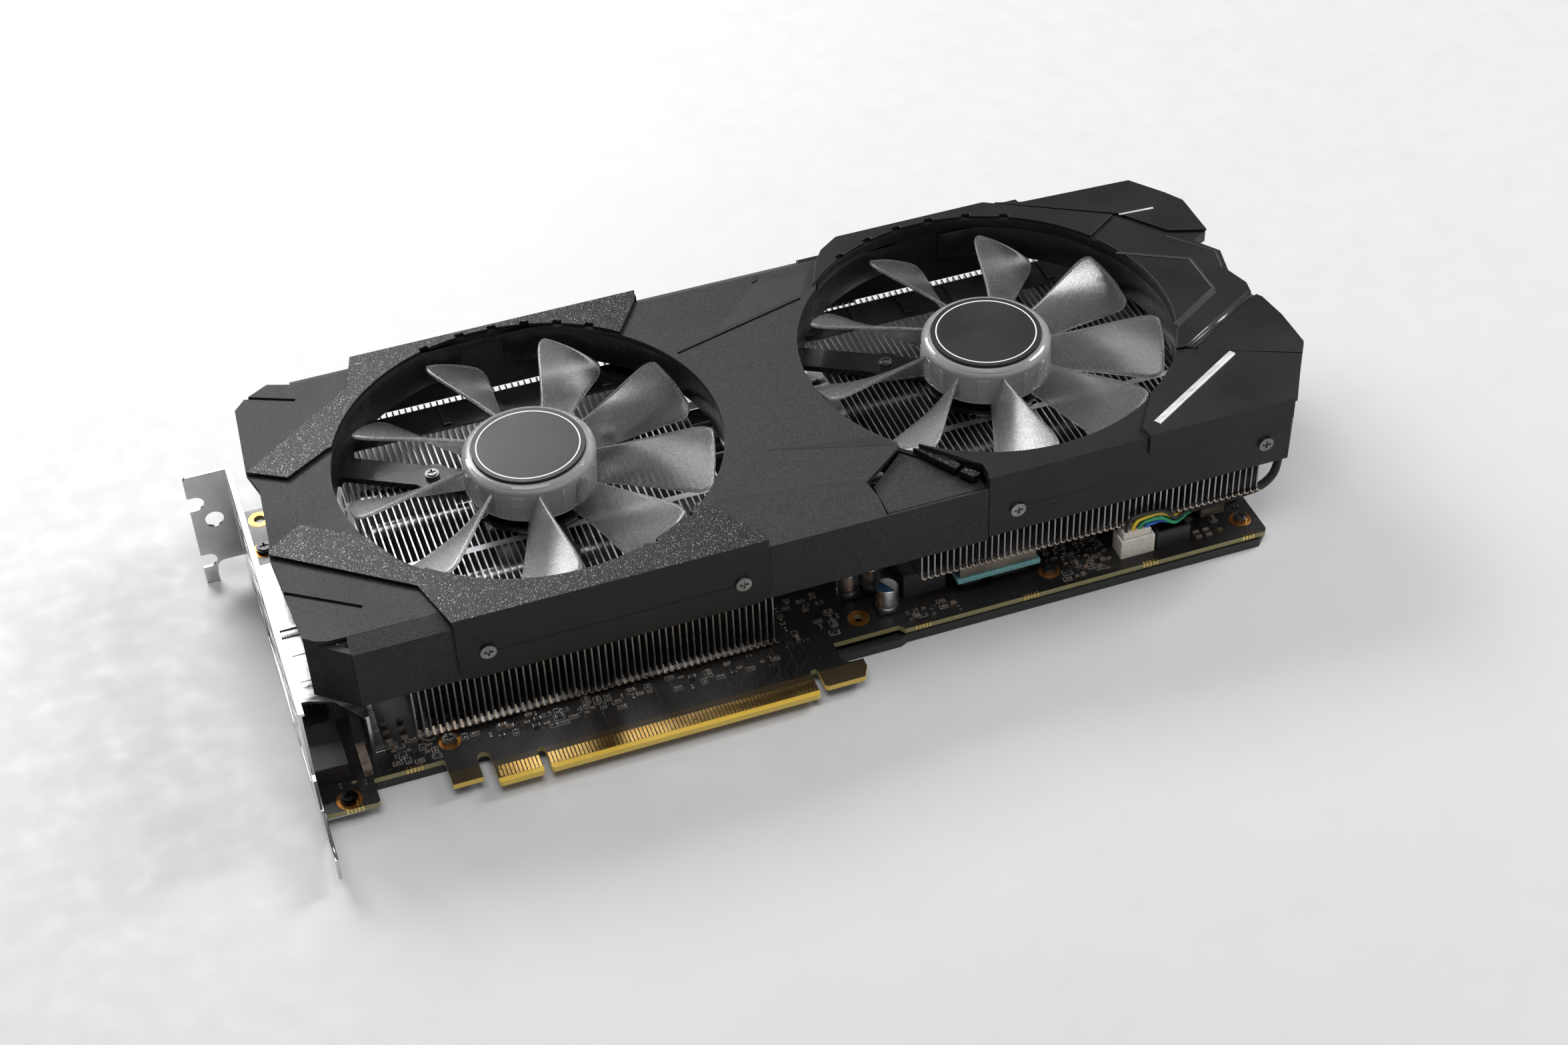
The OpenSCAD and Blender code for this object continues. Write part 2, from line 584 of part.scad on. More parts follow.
module bearing(at) difference() {
    drum(at, shaft_r + 1.9, mount_z + 0.6, hub_ceiling - 2.4);
    drum(at, shaft_r + shaft_gap, mount_z - 1, hub_top);
}
module left_bearing() at_datum() color([0.72, 0.6, 0.35]) bearing(left_fan);
module right_bearing() at_datum() color([0.72, 0.6, 0.35]) bearing(right_fan);

module stator(at) difference() {
    union() {
        drum(at, 6, mount_z + mount_t, hub_ceiling - 2.6);
        for (a = [0 : 60 : 300]) translate([at[0], at[1], 0]) rotate(a)
            box(4, 12.6, -2, 2, hub_bottom + 1, hub_ceiling - 3.4);
    }
    drum(at, shaft_r + 1.95, mount_z, hub_top);
}
module left_stator() at_datum() color([0.65, 0.38, 0.2]) stator(left_fan);
module right_stator() at_datum() color([0.65, 0.38, 0.2]) stator(right_fan);

// ---- cooler ----

fin_near = 20.9;
fin_far = 124.4;
left_fins_x0 = -28.4;
left_fin_span = 95.6;
left_fin_low = 1.2;
left_fin_step = 8.2;
right_fins_x0 = 108.4;
right_fin_span = 97.4;
right_fin_low = 9.7;
right_fin_step = 13.2;
pipe_gap = 0.15;
pipe_z = 14.5;
pipe_ys = [44, 58, 86, 100];
left_fin_profile = [[fin_near, left_fin_low], [36, left_fin_low], [36, left_fin_step],
    [108, left_fin_step], [108, left_fin_low + 6], [fin_far, left_fin_low + 6], [fin_far, fin_top],
    [fin_near, fin_top]];
right_fin_profile = [[fin_near, right_fin_low], [110, right_fin_low], [110, right_fin_step],
    [fin_far, right_fin_step], [fin_far, fin_top], [fin_near, fin_top]];

module pipe_row(x0, x1, r) {
    for (y = pipe_ys) translate([x0, y, pipe_z]) rotate([0, 90, 0]) cylinder(h = x1 - x0, r = r, $fn = 48);
}

// A comb of thin fins, joined along the front by their bent feet and on top by a tie strip.
module fin_stack(x0, span, profile, low) {
    count = floor(span / fin_pitch) + 1;
    x1 = x0 + (count - 1) * fin_pitch + fin_t;
    difference() {
        union() {
            for (i = [0 : count - 1])
                along_x(x0 + i * fin_pitch, x0 + i * fin_pitch + fin_t) polygon(profile);
            box(x0, x1, fin_near, fin_near + 1.4, low, low + 0.3);
            box(x0, x1, 60, 62, fin_top - 0.3, fin_top);
        }
        pipe_row(x0 - 1, x1 + 1, pipe_r + pipe_gap);
    }
}

module left_fin_stack() at_datum() color([0.7, 0.7, 0.72])
    fin_stack(left_fins_x0, left_fin_span, left_fin_profile, left_fin_low);
module right_fin_stack() at_datum() color([0.7, 0.7, 0.72])
    fin_stack(right_fins_x0, right_fin_span, right_fin_profile, right_fin_low);
module heat_pipes() at_datum() color([0.75, 0.72, 0.7]) pipe_row(-24, 204, pipe_r);

gpu = [34, 72];
module chip(x, y, w, d, z0, z1) box(x - w / 2, x + w / 2, y - d / 2, y + d / 2, z0, z1);

module cold_plate() at_datum() color([0.72, 0.7, 0.68]) difference() {
    chip(gpu[0], gpu[1], 60, 68, 2.9, left_fin_step);
    for (x = [-27, 27]) for (y = [-31, 31]) drum(gpu + [x, y], 1.6, 2, 9);
}
module gpu_package() at_datum() color([0.1, 0.25, 0.15]) chip(gpu[0], gpu[1], 40, 40, 0, 1.9);
module gpu_die() at_datum() color([0.5, 0.5, 0.55]) chip(gpu[0], gpu[1], 20, 16, 1.9, 2.9);
module memory_chips() at_datum() color([0.08, 0.08, 0.08]) {
    for (x = [-38, 42]) for (y = [-22, -6, 10]) chip(gpu[0] + x, gpu[1] + y, 12, 12, 0, 1.2);
    for (x = [-10, 6]) chip(gpu[0] + x, gpu[1] + 42, 12, 12, 0, 1.2);
}

pad_low = 4.1;
pad_high = 5.6;
module vrm_plate() at_datum() color([0.45, 0.42, 0.4]) box(119.6, 141.6, 21.6, 104, pad_high, right_fin_low);
module thermal_pad() at_datum() color([0.35, 0.55, 0.52]) box(118.8, 142.6, 20.8, 104.6, pad_low, pad_high);
module mosfets() at_datum() color([0.1, 0.1, 0.1])
    for (i = [0 : 6]) box(121, 127, 24 + i * 11.4, 30 + i * 11.4, 0, pad_low);
module chokes() at_datum() color([0.12, 0.12, 0.12]) {
    for (i = [0 : 6]) box(105, 117, 25.2 + i * 13, 37.4 + i * 13, 0, 8);
    for (i = [0 : 6]) box(130, 140, 24 + i * 11.4, 34 + i * 11.4, 0, pad_low);
}

capacitor_spots = concat([[99.8, 23.8], [99, 33], [92, 33]], [for (i = [0 : 4]) [98, 45 + i * 12]]);
module polymer_capacitors() at_datum() color([0.8, 0.8, 0.78])
    for (p = capacitor_spots) {
        chip(p[0], p[1], 6.2, 6.2, 0, 0.9);
        drum(p, 3.05, 0.8, 8, 40);
    }

// ---- headers and leads ----

header_x = 165;
header_y = 18.2;
header_w = 9.9;
header_d = 5.6;
header_h = 6;
spare_x = 175.5;
wall_h = 0.8;
module header_body(x0) difference() {
    box(x0, x0 + header_w, header_y, header_y + header_d, 0, header_h);
    translate([x0 + wall_h, header_y + wall_h, 1.6])
        cube([header_w - 2 * wall_h, header_d - 2 * wall_h, header_h]);
}
module fan_header() at_datum() color([0.85, 0.82, 0.75]) header_body(header_x);
module spare_fan_header() at_datum() color([0.15, 0.15, 0.16]) {
    header_body(spare_x);
    for (i = [0 : 3])
        box(spare_x + 1.7 + i * 2, spare_x + 2.3 + i * 2, header_y + 2.5, header_y + 3.1, 1.5, 5);
}
plug_top = 8;
module fan_plug() at_datum() color([0.88, 0.85, 0.8])
    box(header_x + 0.9, header_x + header_w - 0.9, header_y + 0.9, header_y + header_d - 0.9, 1.6, plug_top);

// A lead is a tube of rings swept along its route; smooth() adds points on a smooth curve.
function unit(v) = v / norm(v);
function route_dir(p, i) = unit(p[min(i + 1, len(p) - 1)] - p[max(i - 1, 0)]);
function curve_point(a, b, c, d, t) =
    0.5 * (2 * b + (c - a) * t + (2 * a - 5 * b + 4 * c - d) * t * t + (3 * b - a - 3 * c + d) * t * t * t);
function smooth(p, k) = concat(
    [for (i = [0 : len(p) - 2]) for (j = [0 : k - 1])
        curve_point(p[max(i - 1, 0)], p[i], p[i + 1], p[min(i + 2, len(p) - 1)], j / k)],
    [p[len(p) - 1]]);

module lead(p, r, sides = 8) {
    n = len(p);
    up = [0.1, 0.2, 1];
    pts = [for (i = [0 : n - 1])
        let (d = route_dir(p, i), s = unit(cross(d, abs(d[2]) > 0.97 ? [0, 1, 0] : up)), u = cross(s, d))
        for (k = [0 : sides - 1])
        p[i] + r * (cos(360 * k / sides) * s + sin(360 * k / sides) * u)];
    skin = [for (i = [0 : n - 2]) for (k = [0 : sides - 1])
        [i * sides + k, i * sides + (k + 1) % sides, (i + 1) * sides + (k + 1) % sides, (i + 1) * sides + k]];
    ends = [[for (k = [sides - 1 : -1 : 0]) k], [for (k = [0 : sides - 1]) (n - 1) * sides + k]];
    polyhedron(points = pts, faces = concat(skin, ends), convexity = 6);
}

// Four wires leave the plug, arch in front of the fins and meet side by side at the sleeve.
wire_r = 0.5;
sleeve_start = [187, 23, 7.2];
function wire_route(i) =
    let (x = header_x + 2 + 2 * i, side = i % 2 == 0 ? -1 : 1, up = 1.5 - i, half = i < 2 ? 1 : -1)
    [[x, 20, plug_top], [x, 20, plug_top + 0.3], [x, 20, plug_top + 0.6], [x + 0.6, 19.9, 9.9 + 0.7 * up],
        [x + 2, 19.8, 10.8 + 1.3 * up], [177, 19.8 + 0.3 * side, 10.8 + 1.3 * up],
        [181, 19.75 + 0.56 * side, 8.2 + 0.46 * up + 0.32 * half],
        [186, 22.8 + 0.6 * side, 7.3 + 0.6 * half],
        sleeve_start + [0, 0.6 * side, 0.6 * half]];

module fan_lead_wires() at_datum() color([0.2, 0.3, 0.6])
    for (i = [0 : 3]) lead(smooth(wire_route(i), 2), wire_r);

// The sleeve passes under the fins, loops up past their end and runs above them to the motor's arm.
sleeve_route = [sleeve_start, [188, 23.2, 7.1], [193, 24, 6.6], [199, 24, 6.6], [204, 24, 7],
    [209, 24.2, 7.6], [213, 25, 10], [215.2, 26.8, 14], [215.4, 28.4, 18], [214.4, 28.6, 22],
    [211.6, 28, 24.8], [206, 26.6, 25.3], [196, 25.6, 25.3], [184, 25, 25.3], [172, 25, 25.3],
    [162, 25, 25.3], [155.5, 25, 25.3]];
module fan_lead_sleeve() at_datum() color([0.12, 0.12, 0.12]) lead(smooth(sleeve_route, 3), 1.2);

link_route = [[65.4, 103.5, 26], [67, 104.4, 26], [73, 107, 25.6], [84.5, 108.4, 25.2],
    [96, 107, 25.6], [102, 104.4, 26], [103.6, 103.5, 26]];
module fan_link_lead() at_datum() color([0.12, 0.12, 0.12]) lead(smooth(link_route, 3), 1.2);

// ---- small parts and fasteners ----

module small_parts() at_datum() color([0.35, 0.33, 0.3]) {
    box(192.2, 199.4, 25.6, 31.6, 0, 2.8);
    box(201.6, 206.2, 28.9, 34.6, 0, 3.2);
    for (x = [187.4, 190.4]) for (y = [18, 20]) box(x, x + 1.8, y, y + 0.9, 0, 0.7);
    for (i = [0 : 5]) for (j = [0 : 2])
        box(-36.4 + i * 4, -34.6 + i * 4, 23 + j * 3.2, 24 + j * 3.2, 0, 0.7);
    box(-44, -41.6, 14, 24, 0, 2.2);
    for (i = [0 : 7])
        box(148 + i * 5.2, 149.8 + i * 5.2, 31 + (i % 3) * 2.6, 32 + (i % 3) * 2.6, 0, 0.7);
    for (i = [0 : 3]) box(71 + i * 3.6, 72.8 + i * 3.6, 30 + (i % 2) * 5, 31 + (i % 2) * 5, 0, 0.7);
}

// A pan head with a cross recess, on a plain shank.
module pan_screw(p, r_head, r_shank, z_head, length) difference() {
    union() {
        drum(p, r_head, z_head, z_head + 1.1, 40);
        drum(p, r_head - 0.5, z_head + 1, z_head + 1.5, 40);
        drum(p, r_shank, z_head - length, z_head + 0.5, 32);
    }
    for (a = [0, 90]) translate([p[0], p[1], z_head + 0.8]) rotate(a)
        translate([-r_head * 0.55, -0.3, 0]) cube([r_head * 1.1, 0.6, 2]);
}
module board_screws() at_datum() color([0.75, 0.75, 0.75])
    for (p = screw_spots) pan_screw(p, 1.9, screw_r, 0, 4);
module bracket_screws() at_datum() color([0.1, 0.1, 0.1])
    for (p = bracket_screw_spots) pan_screw(p, 2.3, 1.3, 0, 2.5);
module motor_screws() at_datum() color([0.6, 0.6, 0.6])
    for (c = [left_fan, right_fan]) for (a = mount_angles)
        pan_screw(polar(c, mount_screw_r, a), 1.9, 1, mount_z + mount_t, 1.7);

module side_screw(x, y_head) translate([x, y_head, side_screw_z]) rotate([90, 0, 0]) difference() {
    union() {
        cylinder(h = 0.7, r = 2.1, $fn = 40);
        translate([0, 0, -3]) cylinder(h = 3.2, r = 1, $fn = 32);
    }
    for (a = [0, 90]) rotate(a) translate([-1.2, -0.3, 0.2]) cube([2.4, 0.6, 2]);
}
module shroud_screws() at_datum() color([0.7, 0.7, 0.7]) {
    for (x = left_side_screws) side_screw(x, shroud_near - 0.8);
    for (x = right_side_screws) side_screw(x, shroud_near);
}

circuit_board();
edge_contacts();
backplate();
io_bracket();
socket_shield();
near_display_socket();
wide_video_socket();
far_display_socket();
power_socket_8pin();
power_socket_6pin();
shroud_body();
right_shell();
trim_upper_left();
trim_lower_left();
trim_ring_right();
trim_end_far();
trim_end_middle();
trim_end_near();
trim_end_bar();
lower_facet_panel();
left_fan_duct();
right_fan_duct();
left_motor_mount();
right_motor_mount();
left_fan_rotor();
right_fan_rotor();
left_hub_cap();
right_hub_cap();
left_magnet_cup();
right_magnet_cup();
left_fan_shaft();
right_fan_shaft();
left_bearing();
right_bearing();
left_stator();
right_stator();
left_fin_stack();
right_fin_stack();
heat_pipes();
cold_plate();
gpu_package();
gpu_die();
memory_chips();
vrm_plate();
thermal_pad();
chokes();
mosfets();
polymer_capacitors();
fan_header();
spare_fan_header();
fan_plug();
fan_lead_wires();
fan_lead_sleeve();
fan_link_lead();
small_parts();
board_screws();
shroud_screws();
motor_screws();
bracket_screws();
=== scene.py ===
import json
import math
import random

import bmesh
import bpy
from mathutils import Matrix, Vector


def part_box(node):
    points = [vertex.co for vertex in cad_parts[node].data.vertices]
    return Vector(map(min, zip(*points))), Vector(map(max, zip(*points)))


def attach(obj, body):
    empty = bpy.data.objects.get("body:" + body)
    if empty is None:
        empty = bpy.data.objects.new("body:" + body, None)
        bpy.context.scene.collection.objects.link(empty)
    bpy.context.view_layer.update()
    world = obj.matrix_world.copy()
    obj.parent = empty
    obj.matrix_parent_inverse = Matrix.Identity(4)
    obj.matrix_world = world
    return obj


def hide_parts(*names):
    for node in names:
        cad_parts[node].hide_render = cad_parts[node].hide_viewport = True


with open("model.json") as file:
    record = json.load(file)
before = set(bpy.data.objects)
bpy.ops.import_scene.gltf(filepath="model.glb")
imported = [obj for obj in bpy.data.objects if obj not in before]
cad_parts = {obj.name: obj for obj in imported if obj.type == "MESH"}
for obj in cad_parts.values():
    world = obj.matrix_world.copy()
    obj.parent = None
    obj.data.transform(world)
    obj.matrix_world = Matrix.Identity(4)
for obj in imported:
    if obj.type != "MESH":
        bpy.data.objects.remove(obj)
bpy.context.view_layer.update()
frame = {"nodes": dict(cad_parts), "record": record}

MM = 0.001
# Datum of the CAD: x = 0 at the connector's key, y = 0 at the lower edge of the contacts,
# z = 0 at the component side of the board, whose left end is at x = -55.6 and underside at z = -1.6.
BOARD_LEFT, BOARD_T = -55.6, 1.6
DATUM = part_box("circuit_board")[0] - Vector((BOARD_LEFT, 0, -BOARD_T)) * MM


def at(x, y, z=0.0):
    return DATUM + Vector((x, y, z)) * MM


# ---------------------------------------------------------------- camera, floor, light

def make_camera():
    data = bpy.data.cameras.new("photo_camera")
    data.lens, data.sensor_width = 60.325, 36.0
    data.clip_start, data.clip_end = 0.01, 20.0
    camera = bpy.data.objects.new("photo_camera", data)
    bpy.context.scene.collection.objects.link(camera)
    azimuth, elevation, roll = map(math.radians, (17.58, 41.94, -2.596))
    forward = Vector((math.sin(azimuth) * math.cos(elevation), math.cos(azimuth) * math.cos(elevation),
                      -math.sin(elevation)))
    turn = forward.to_track_quat("-Z", "Y").to_matrix() @ Matrix.Rotation(roll, 3, "Z")
    camera.matrix_world = Matrix.Translation(at(-77.155, -447.556, 483.678)) @ turn.to_4x4()
    bpy.context.scene.camera = camera


def area_light(name, place, aim, size, watts, tint=(1, 1, 1)):
    data = bpy.data.lights.new(name, "AREA")
    data.shape, data.size, data.size_y, data.energy, data.color = "RECTANGLE", size[0], size[1], watts, tint
    lamp = bpy.data.objects.new(name, data)
    bpy.context.scene.collection.objects.link(lamp)
    lamp.location = place
    lamp.rotation_euler = (Vector(aim) - Vector(place)).to_track_quat("-Z", "Y").to_euler()


def make_world():
    world = bpy.data.worlds.new("studio")
    bpy.context.scene.world = world
    world.use_nodes = True
    tree = world.node_tree
    back = tree.nodes["Background"]
    coord = tree.nodes.new("ShaderNodeTexCoord")
    split = tree.nodes.new("ShaderNodeSeparateXYZ")
    ramp = tree.nodes.new("ShaderNodeValToRGB")
    ramp.color_ramp.elements[0].color = (0.34, 0.34, 0.35, 1)
    ramp.color_ramp.elements[1].color = (0.85, 0.86, 0.88, 1)
    tree.links.new(coord.outputs["Generated"], split.inputs[0])
    tree.links.new(split.outputs["Z"], ramp.inputs["Fac"])
    tree.links.new(ramp.outputs["Color"], back.inputs["Color"])
    back.inputs["Strength"].default_value = 0.2


def make_light():
    area_light("back_left_key", (-0.22, 0.57, 0.48), (-0.08, 0, 0.03), (0.46, 0.26), 5.3)
    area_light("right_key", (0.92, 0.2, 0.76), (0.05, 0, 0.02), (0.34, 0.5), 8.5)
    area_light("top_softbox", (-0.1, -0.3, 1.25), (0, 0, 0), (0.9, 0.6), 7.0)
    area_light("front_fill", (0.4, -1.0, 0.35), (0.02, 0, 0), (0.9, 0.3), 1.3)
    view = bpy.context.scene.view_settings
    view.view_transform, view.look, view.exposure = "Standard", "None", 0.0


# ---------------------------------------------------------------- material nodes

class Mat:
    """One procedural material, with short forms for its nodes."""

    def __init__(self, name, rough=0.5, metal=0.0, **constants):
        self.material = bpy.data.materials.new(name)
        self.material.use_nodes = True
        self.tree = self.material.node_tree
        self.shader = self.tree.nodes["Principled BSDF"]
        self.place = self.add("ShaderNodeTexCoord").outputs["Object"]
        self.set("Roughness", rough)
        self.set("Metallic", metal)
        for socket, value in constants.items():
            self.set(socket.replace("_", " "), value)

    def add(self, kind, **settings):
        node = self.tree.nodes.new(kind)
        for key, value in settings.items():
            setattr(node, key, value)
        return node

    def put(self, value, socket):
        if isinstance(value, bpy.types.NodeSocket):
            self.tree.links.new(value, socket)
        elif isinstance(value, (tuple, list)) and len(value) == 3 and socket.type == "RGBA":
            socket.default_value = (*value, 1)
        else:
            socket.default_value = value

    def set(self, socket, value):
        self.put(value, self.shader.inputs[socket])

    def math(self, operation, a, b=0.0, clamp=False):
        node = self.add("ShaderNodeMath", operation=operation, use_clamp=clamp)
        self.put(a, node.inputs[0])
        self.put(b, node.inputs[1])
        return node.outputs[0]

    def axis(self, vector, letter):
        node = self.add("ShaderNodeSeparateXYZ")
        self.put(vector, node.inputs[0])
        return node.outputs[letter]

    def stretched(self, stretch, turn=0.0):
        node = self.add("ShaderNodeMapping")
        self.put(self.place, node.inputs["Vector"])
        node.inputs["Scale"].default_value = stretch
        node.inputs["Rotation"].default_value = (0, 0, turn)
        return node.outputs[0]

    def noise(self, scale, detail=2.0, stretch=None, turn=0.0):
        node = self.add("ShaderNodeTexNoise")
        self.put(self.stretched(stretch, turn) if stretch else self.place, node.inputs["Vector"])
        node.inputs["Scale"].default_value = scale
        node.inputs["Detail"].default_value = detail
        return node.outputs["Fac"]

    def cells(self, scale, output="Distance"):
        node = self.add("ShaderNodeTexVoronoi")
        self.put(self.place, node.inputs["Vector"])
        node.inputs["Scale"].default_value = scale
        return node.outputs[output]

    def between(self, value, low, high, to_low=0.0, to_high=1.0):
        node = self.add("ShaderNodeMapRange")
        self.put(value, node.inputs["Value"])
        ends = {"From Min": low, "From Max": high, "To Min": to_low, "To Max": to_high}
        for socket, number in ends.items():
            self.put(number, node.inputs[socket])
        return node.outputs[0]

    def blend(self, factor, a, b):
        node = self.add("ShaderNodeMix", data_type="RGBA")
        self.put(factor, node.inputs["Factor"])
        self.put(a, node.inputs[6])
        self.put(b, node.inputs[7])
        return node.outputs[2]

    def bump(self, height, depth, strength=1.0):
        node = self.add("ShaderNodeBump")
        node.inputs["Strength"].default_value = strength
        node.inputs["Distance"].default_value = depth
        self.put(height, node.inputs["Height"])
        self.set("Normal", node.outputs[0])

    def painted_crease_shade(self, colour, reach=0.0016):
        """Painted shade: the colour sinks to near black in gaps and inner corners, wherever ambient
        occlusion finds them.
        """
        node = self.add("ShaderNodeAmbientOcclusion", samples=4)
        node.inputs["Distance"].default_value = reach
        return self.blend(self.between(node.outputs["AO"], 0.4, 0.85), (0.002, 0.002, 0.002), colour)

    def normal(self, letter):
        return self.axis(self.add("ShaderNodeNewGeometry").outputs["Normal"], letter)

    def step(self, value, edge, soft=0.0004):
        return self.between(value, edge - soft / 2, edge + soft / 2)


def moulded(name, low, high, rough, grain, depth, spread=0.08, **constants):
    """Moulded plastic: fine grain in height and colour, and soft patches in its gloss."""
    m = Mat(name, rough, **constants)
    fine = m.noise(grain, 3)
    patches = m.noise(45, 4)
    m.set("Base Color", m.blend(m.between(fine, 0.3, 0.7), low, high))
    m.set("Roughness", m.between(patches, 0.3, 0.7, rough - spread, rough + spread))
    m.bump(fine, depth)
    return m


def rolled_metal(name, low, high, rough, stretch, depth=0.00002, spread=0.1, turn=0.0):
    """Sheet or drawn metal: long fine streaks in gloss and height, and faint handling marks."""
    m = Mat(name, rough, 1.0)
    streak = m.noise(60, 4, stretch, turn)
    smudge = m.noise(70, 5)
    m.set("Base Color", m.blend(m.between(smudge, 0.35, 0.7), low, high))
    m.set("Roughness", m.math("ADD", m.between(streak, 0.3, 0.7, rough - spread, rough + spread),
                              m.between(smudge, 0.5, 0.75, 0.0, 0.08)))
    m.bump(streak, depth, 0.6)
    return m


# Slot: name, two tones, roughness, stretch of the streaks, then their depth and spread where not usual
METALS = {
    "bar_bright": ("bar_bright", (0.78, 0.78, 0.79), (0.92, 0.92, 0.92), 0.52, (2, 12, 2), 0.00003),
    "cup_steel": ("cup_steel", (0.30, 0.30, 0.31), (0.5, 0.5, 0.51), 0.3, (1, 1, 30)),
    "shaft_steel": ("shaft_steel", (0.5, 0.5, 0.51), (0.7, 0.7, 0.7), 0.15, (1, 1, 12)),
    "bearing_brass": ("bearing_bronze", (0.45, 0.3, 0.12), (0.65, 0.47, 0.22), 0.35, (1, 1, 3)),
    "winding_copper": ("winding_copper", (0.45, 0.17, 0.06), (0.7, 0.32, 0.12), 0.3, (1, 1, 40), 0.0001),
    "fin_aluminium": ("fin_aluminium", (0.32, 0.32, 0.325), (0.5, 0.5, 0.51), 0.36, (1, 1, 14), 0.00003),
    "pipe_nickel": ("pipe_nickel", (0.6, 0.58, 0.56), (0.78, 0.76, 0.74), 0.16, (0.3, 6, 6)),
    "bracket_chrome": ("bracket_plated", (0.5, 0.5, 0.51), (0.66, 0.66, 0.67),
                       0.16, (3, 0.4, 9), 0.00002, 0.06),
    "shield_steel": ("shield_tin", (0.55, 0.55, 0.56), (0.76, 0.76, 0.76), 0.2, (1, 8, 1), 0.00003),
    "socket_metal": ("socket_tin", (0.5, 0.5, 0.5), (0.7, 0.7, 0.7), 0.22, (8, 1, 1), 0.00002),
    "plate_alloy": ("plate_milled", (0.24, 0.2, 0.17), (0.42, 0.36, 0.31), 0.32, (1, 20, 1), 0.00008),
    "screw_steel": ("screw_nickel", (0.16, 0.16, 0.16), (0.34, 0.34, 0.33), 0.3, (2, 2, 2)),
    "screw_black": ("screw_oxide", (0.02, 0.02, 0.022), (0.06, 0.06, 0.062), 0.24, (2, 2, 2)),
    "gold": ("contact_gold", (0.78, 0.47, 0.12), (0.98, 0.68, 0.26), 0.26, (1, 9, 1), 0.00001, 0.06),
}

# Slot: name, two tones, roughness, scale of the grain and its depth, then the spread where not usual
PLASTICS = {
    "duct_black": ("duct_black", (0.006, 0.006, 0.006), (0.012, 0.012, 0.012), 0.3, 2500, 0.00004),
    "socket_black": ("socket_black", (0.010, 0.010, 0.011), (0.022, 0.022, 0.024), 0.35, 2500, 0.00004),
    "chip_black": ("chip_moulding", (0.018, 0.018, 0.018), (0.04, 0.04, 0.04), 0.5, 3000, 0.00005),
    "package_green": ("package_laminate", (0.02, 0.08, 0.04), (0.05, 0.14, 0.07), 0.4, 1200, 0.00002),
    "die_grey": ("die_silicon", (0.1, 0.1, 0.12), (0.17, 0.17, 0.2), 0.12, 300, 0.000005, 0.04),
    "pad_teal": ("thermal_pad", (0.10, 0.28, 0.29), (0.2, 0.42, 0.42), 0.7, 1300, 0.0002),
    "header_cream": ("header_cream", (0.62, 0.57, 0.49), (0.78, 0.74, 0.66), 0.4, 1500, 0.00004),
    "header_black": ("header_black", (0.012, 0.012, 0.013), (0.03, 0.03, 0.03), 0.4, 2200, 0.00004),
    "surface_parts": ("ceramic_parts", (0.08, 0.06, 0.045), (0.24, 0.19, 0.15), 0.45, 420, 0.00006),
    "backplate_paint": ("backplate_powder_coat", (0.008, 0.008, 0.009), (0.022, 0.022, 0.024),
                        0.45, 2600, 0.00012),
    "wire_colour": ("wire_insulation", (0.01, 0.10, 0.5), (0.03, 0.18, 0.7), 0.35, 900, 0.00002),
}


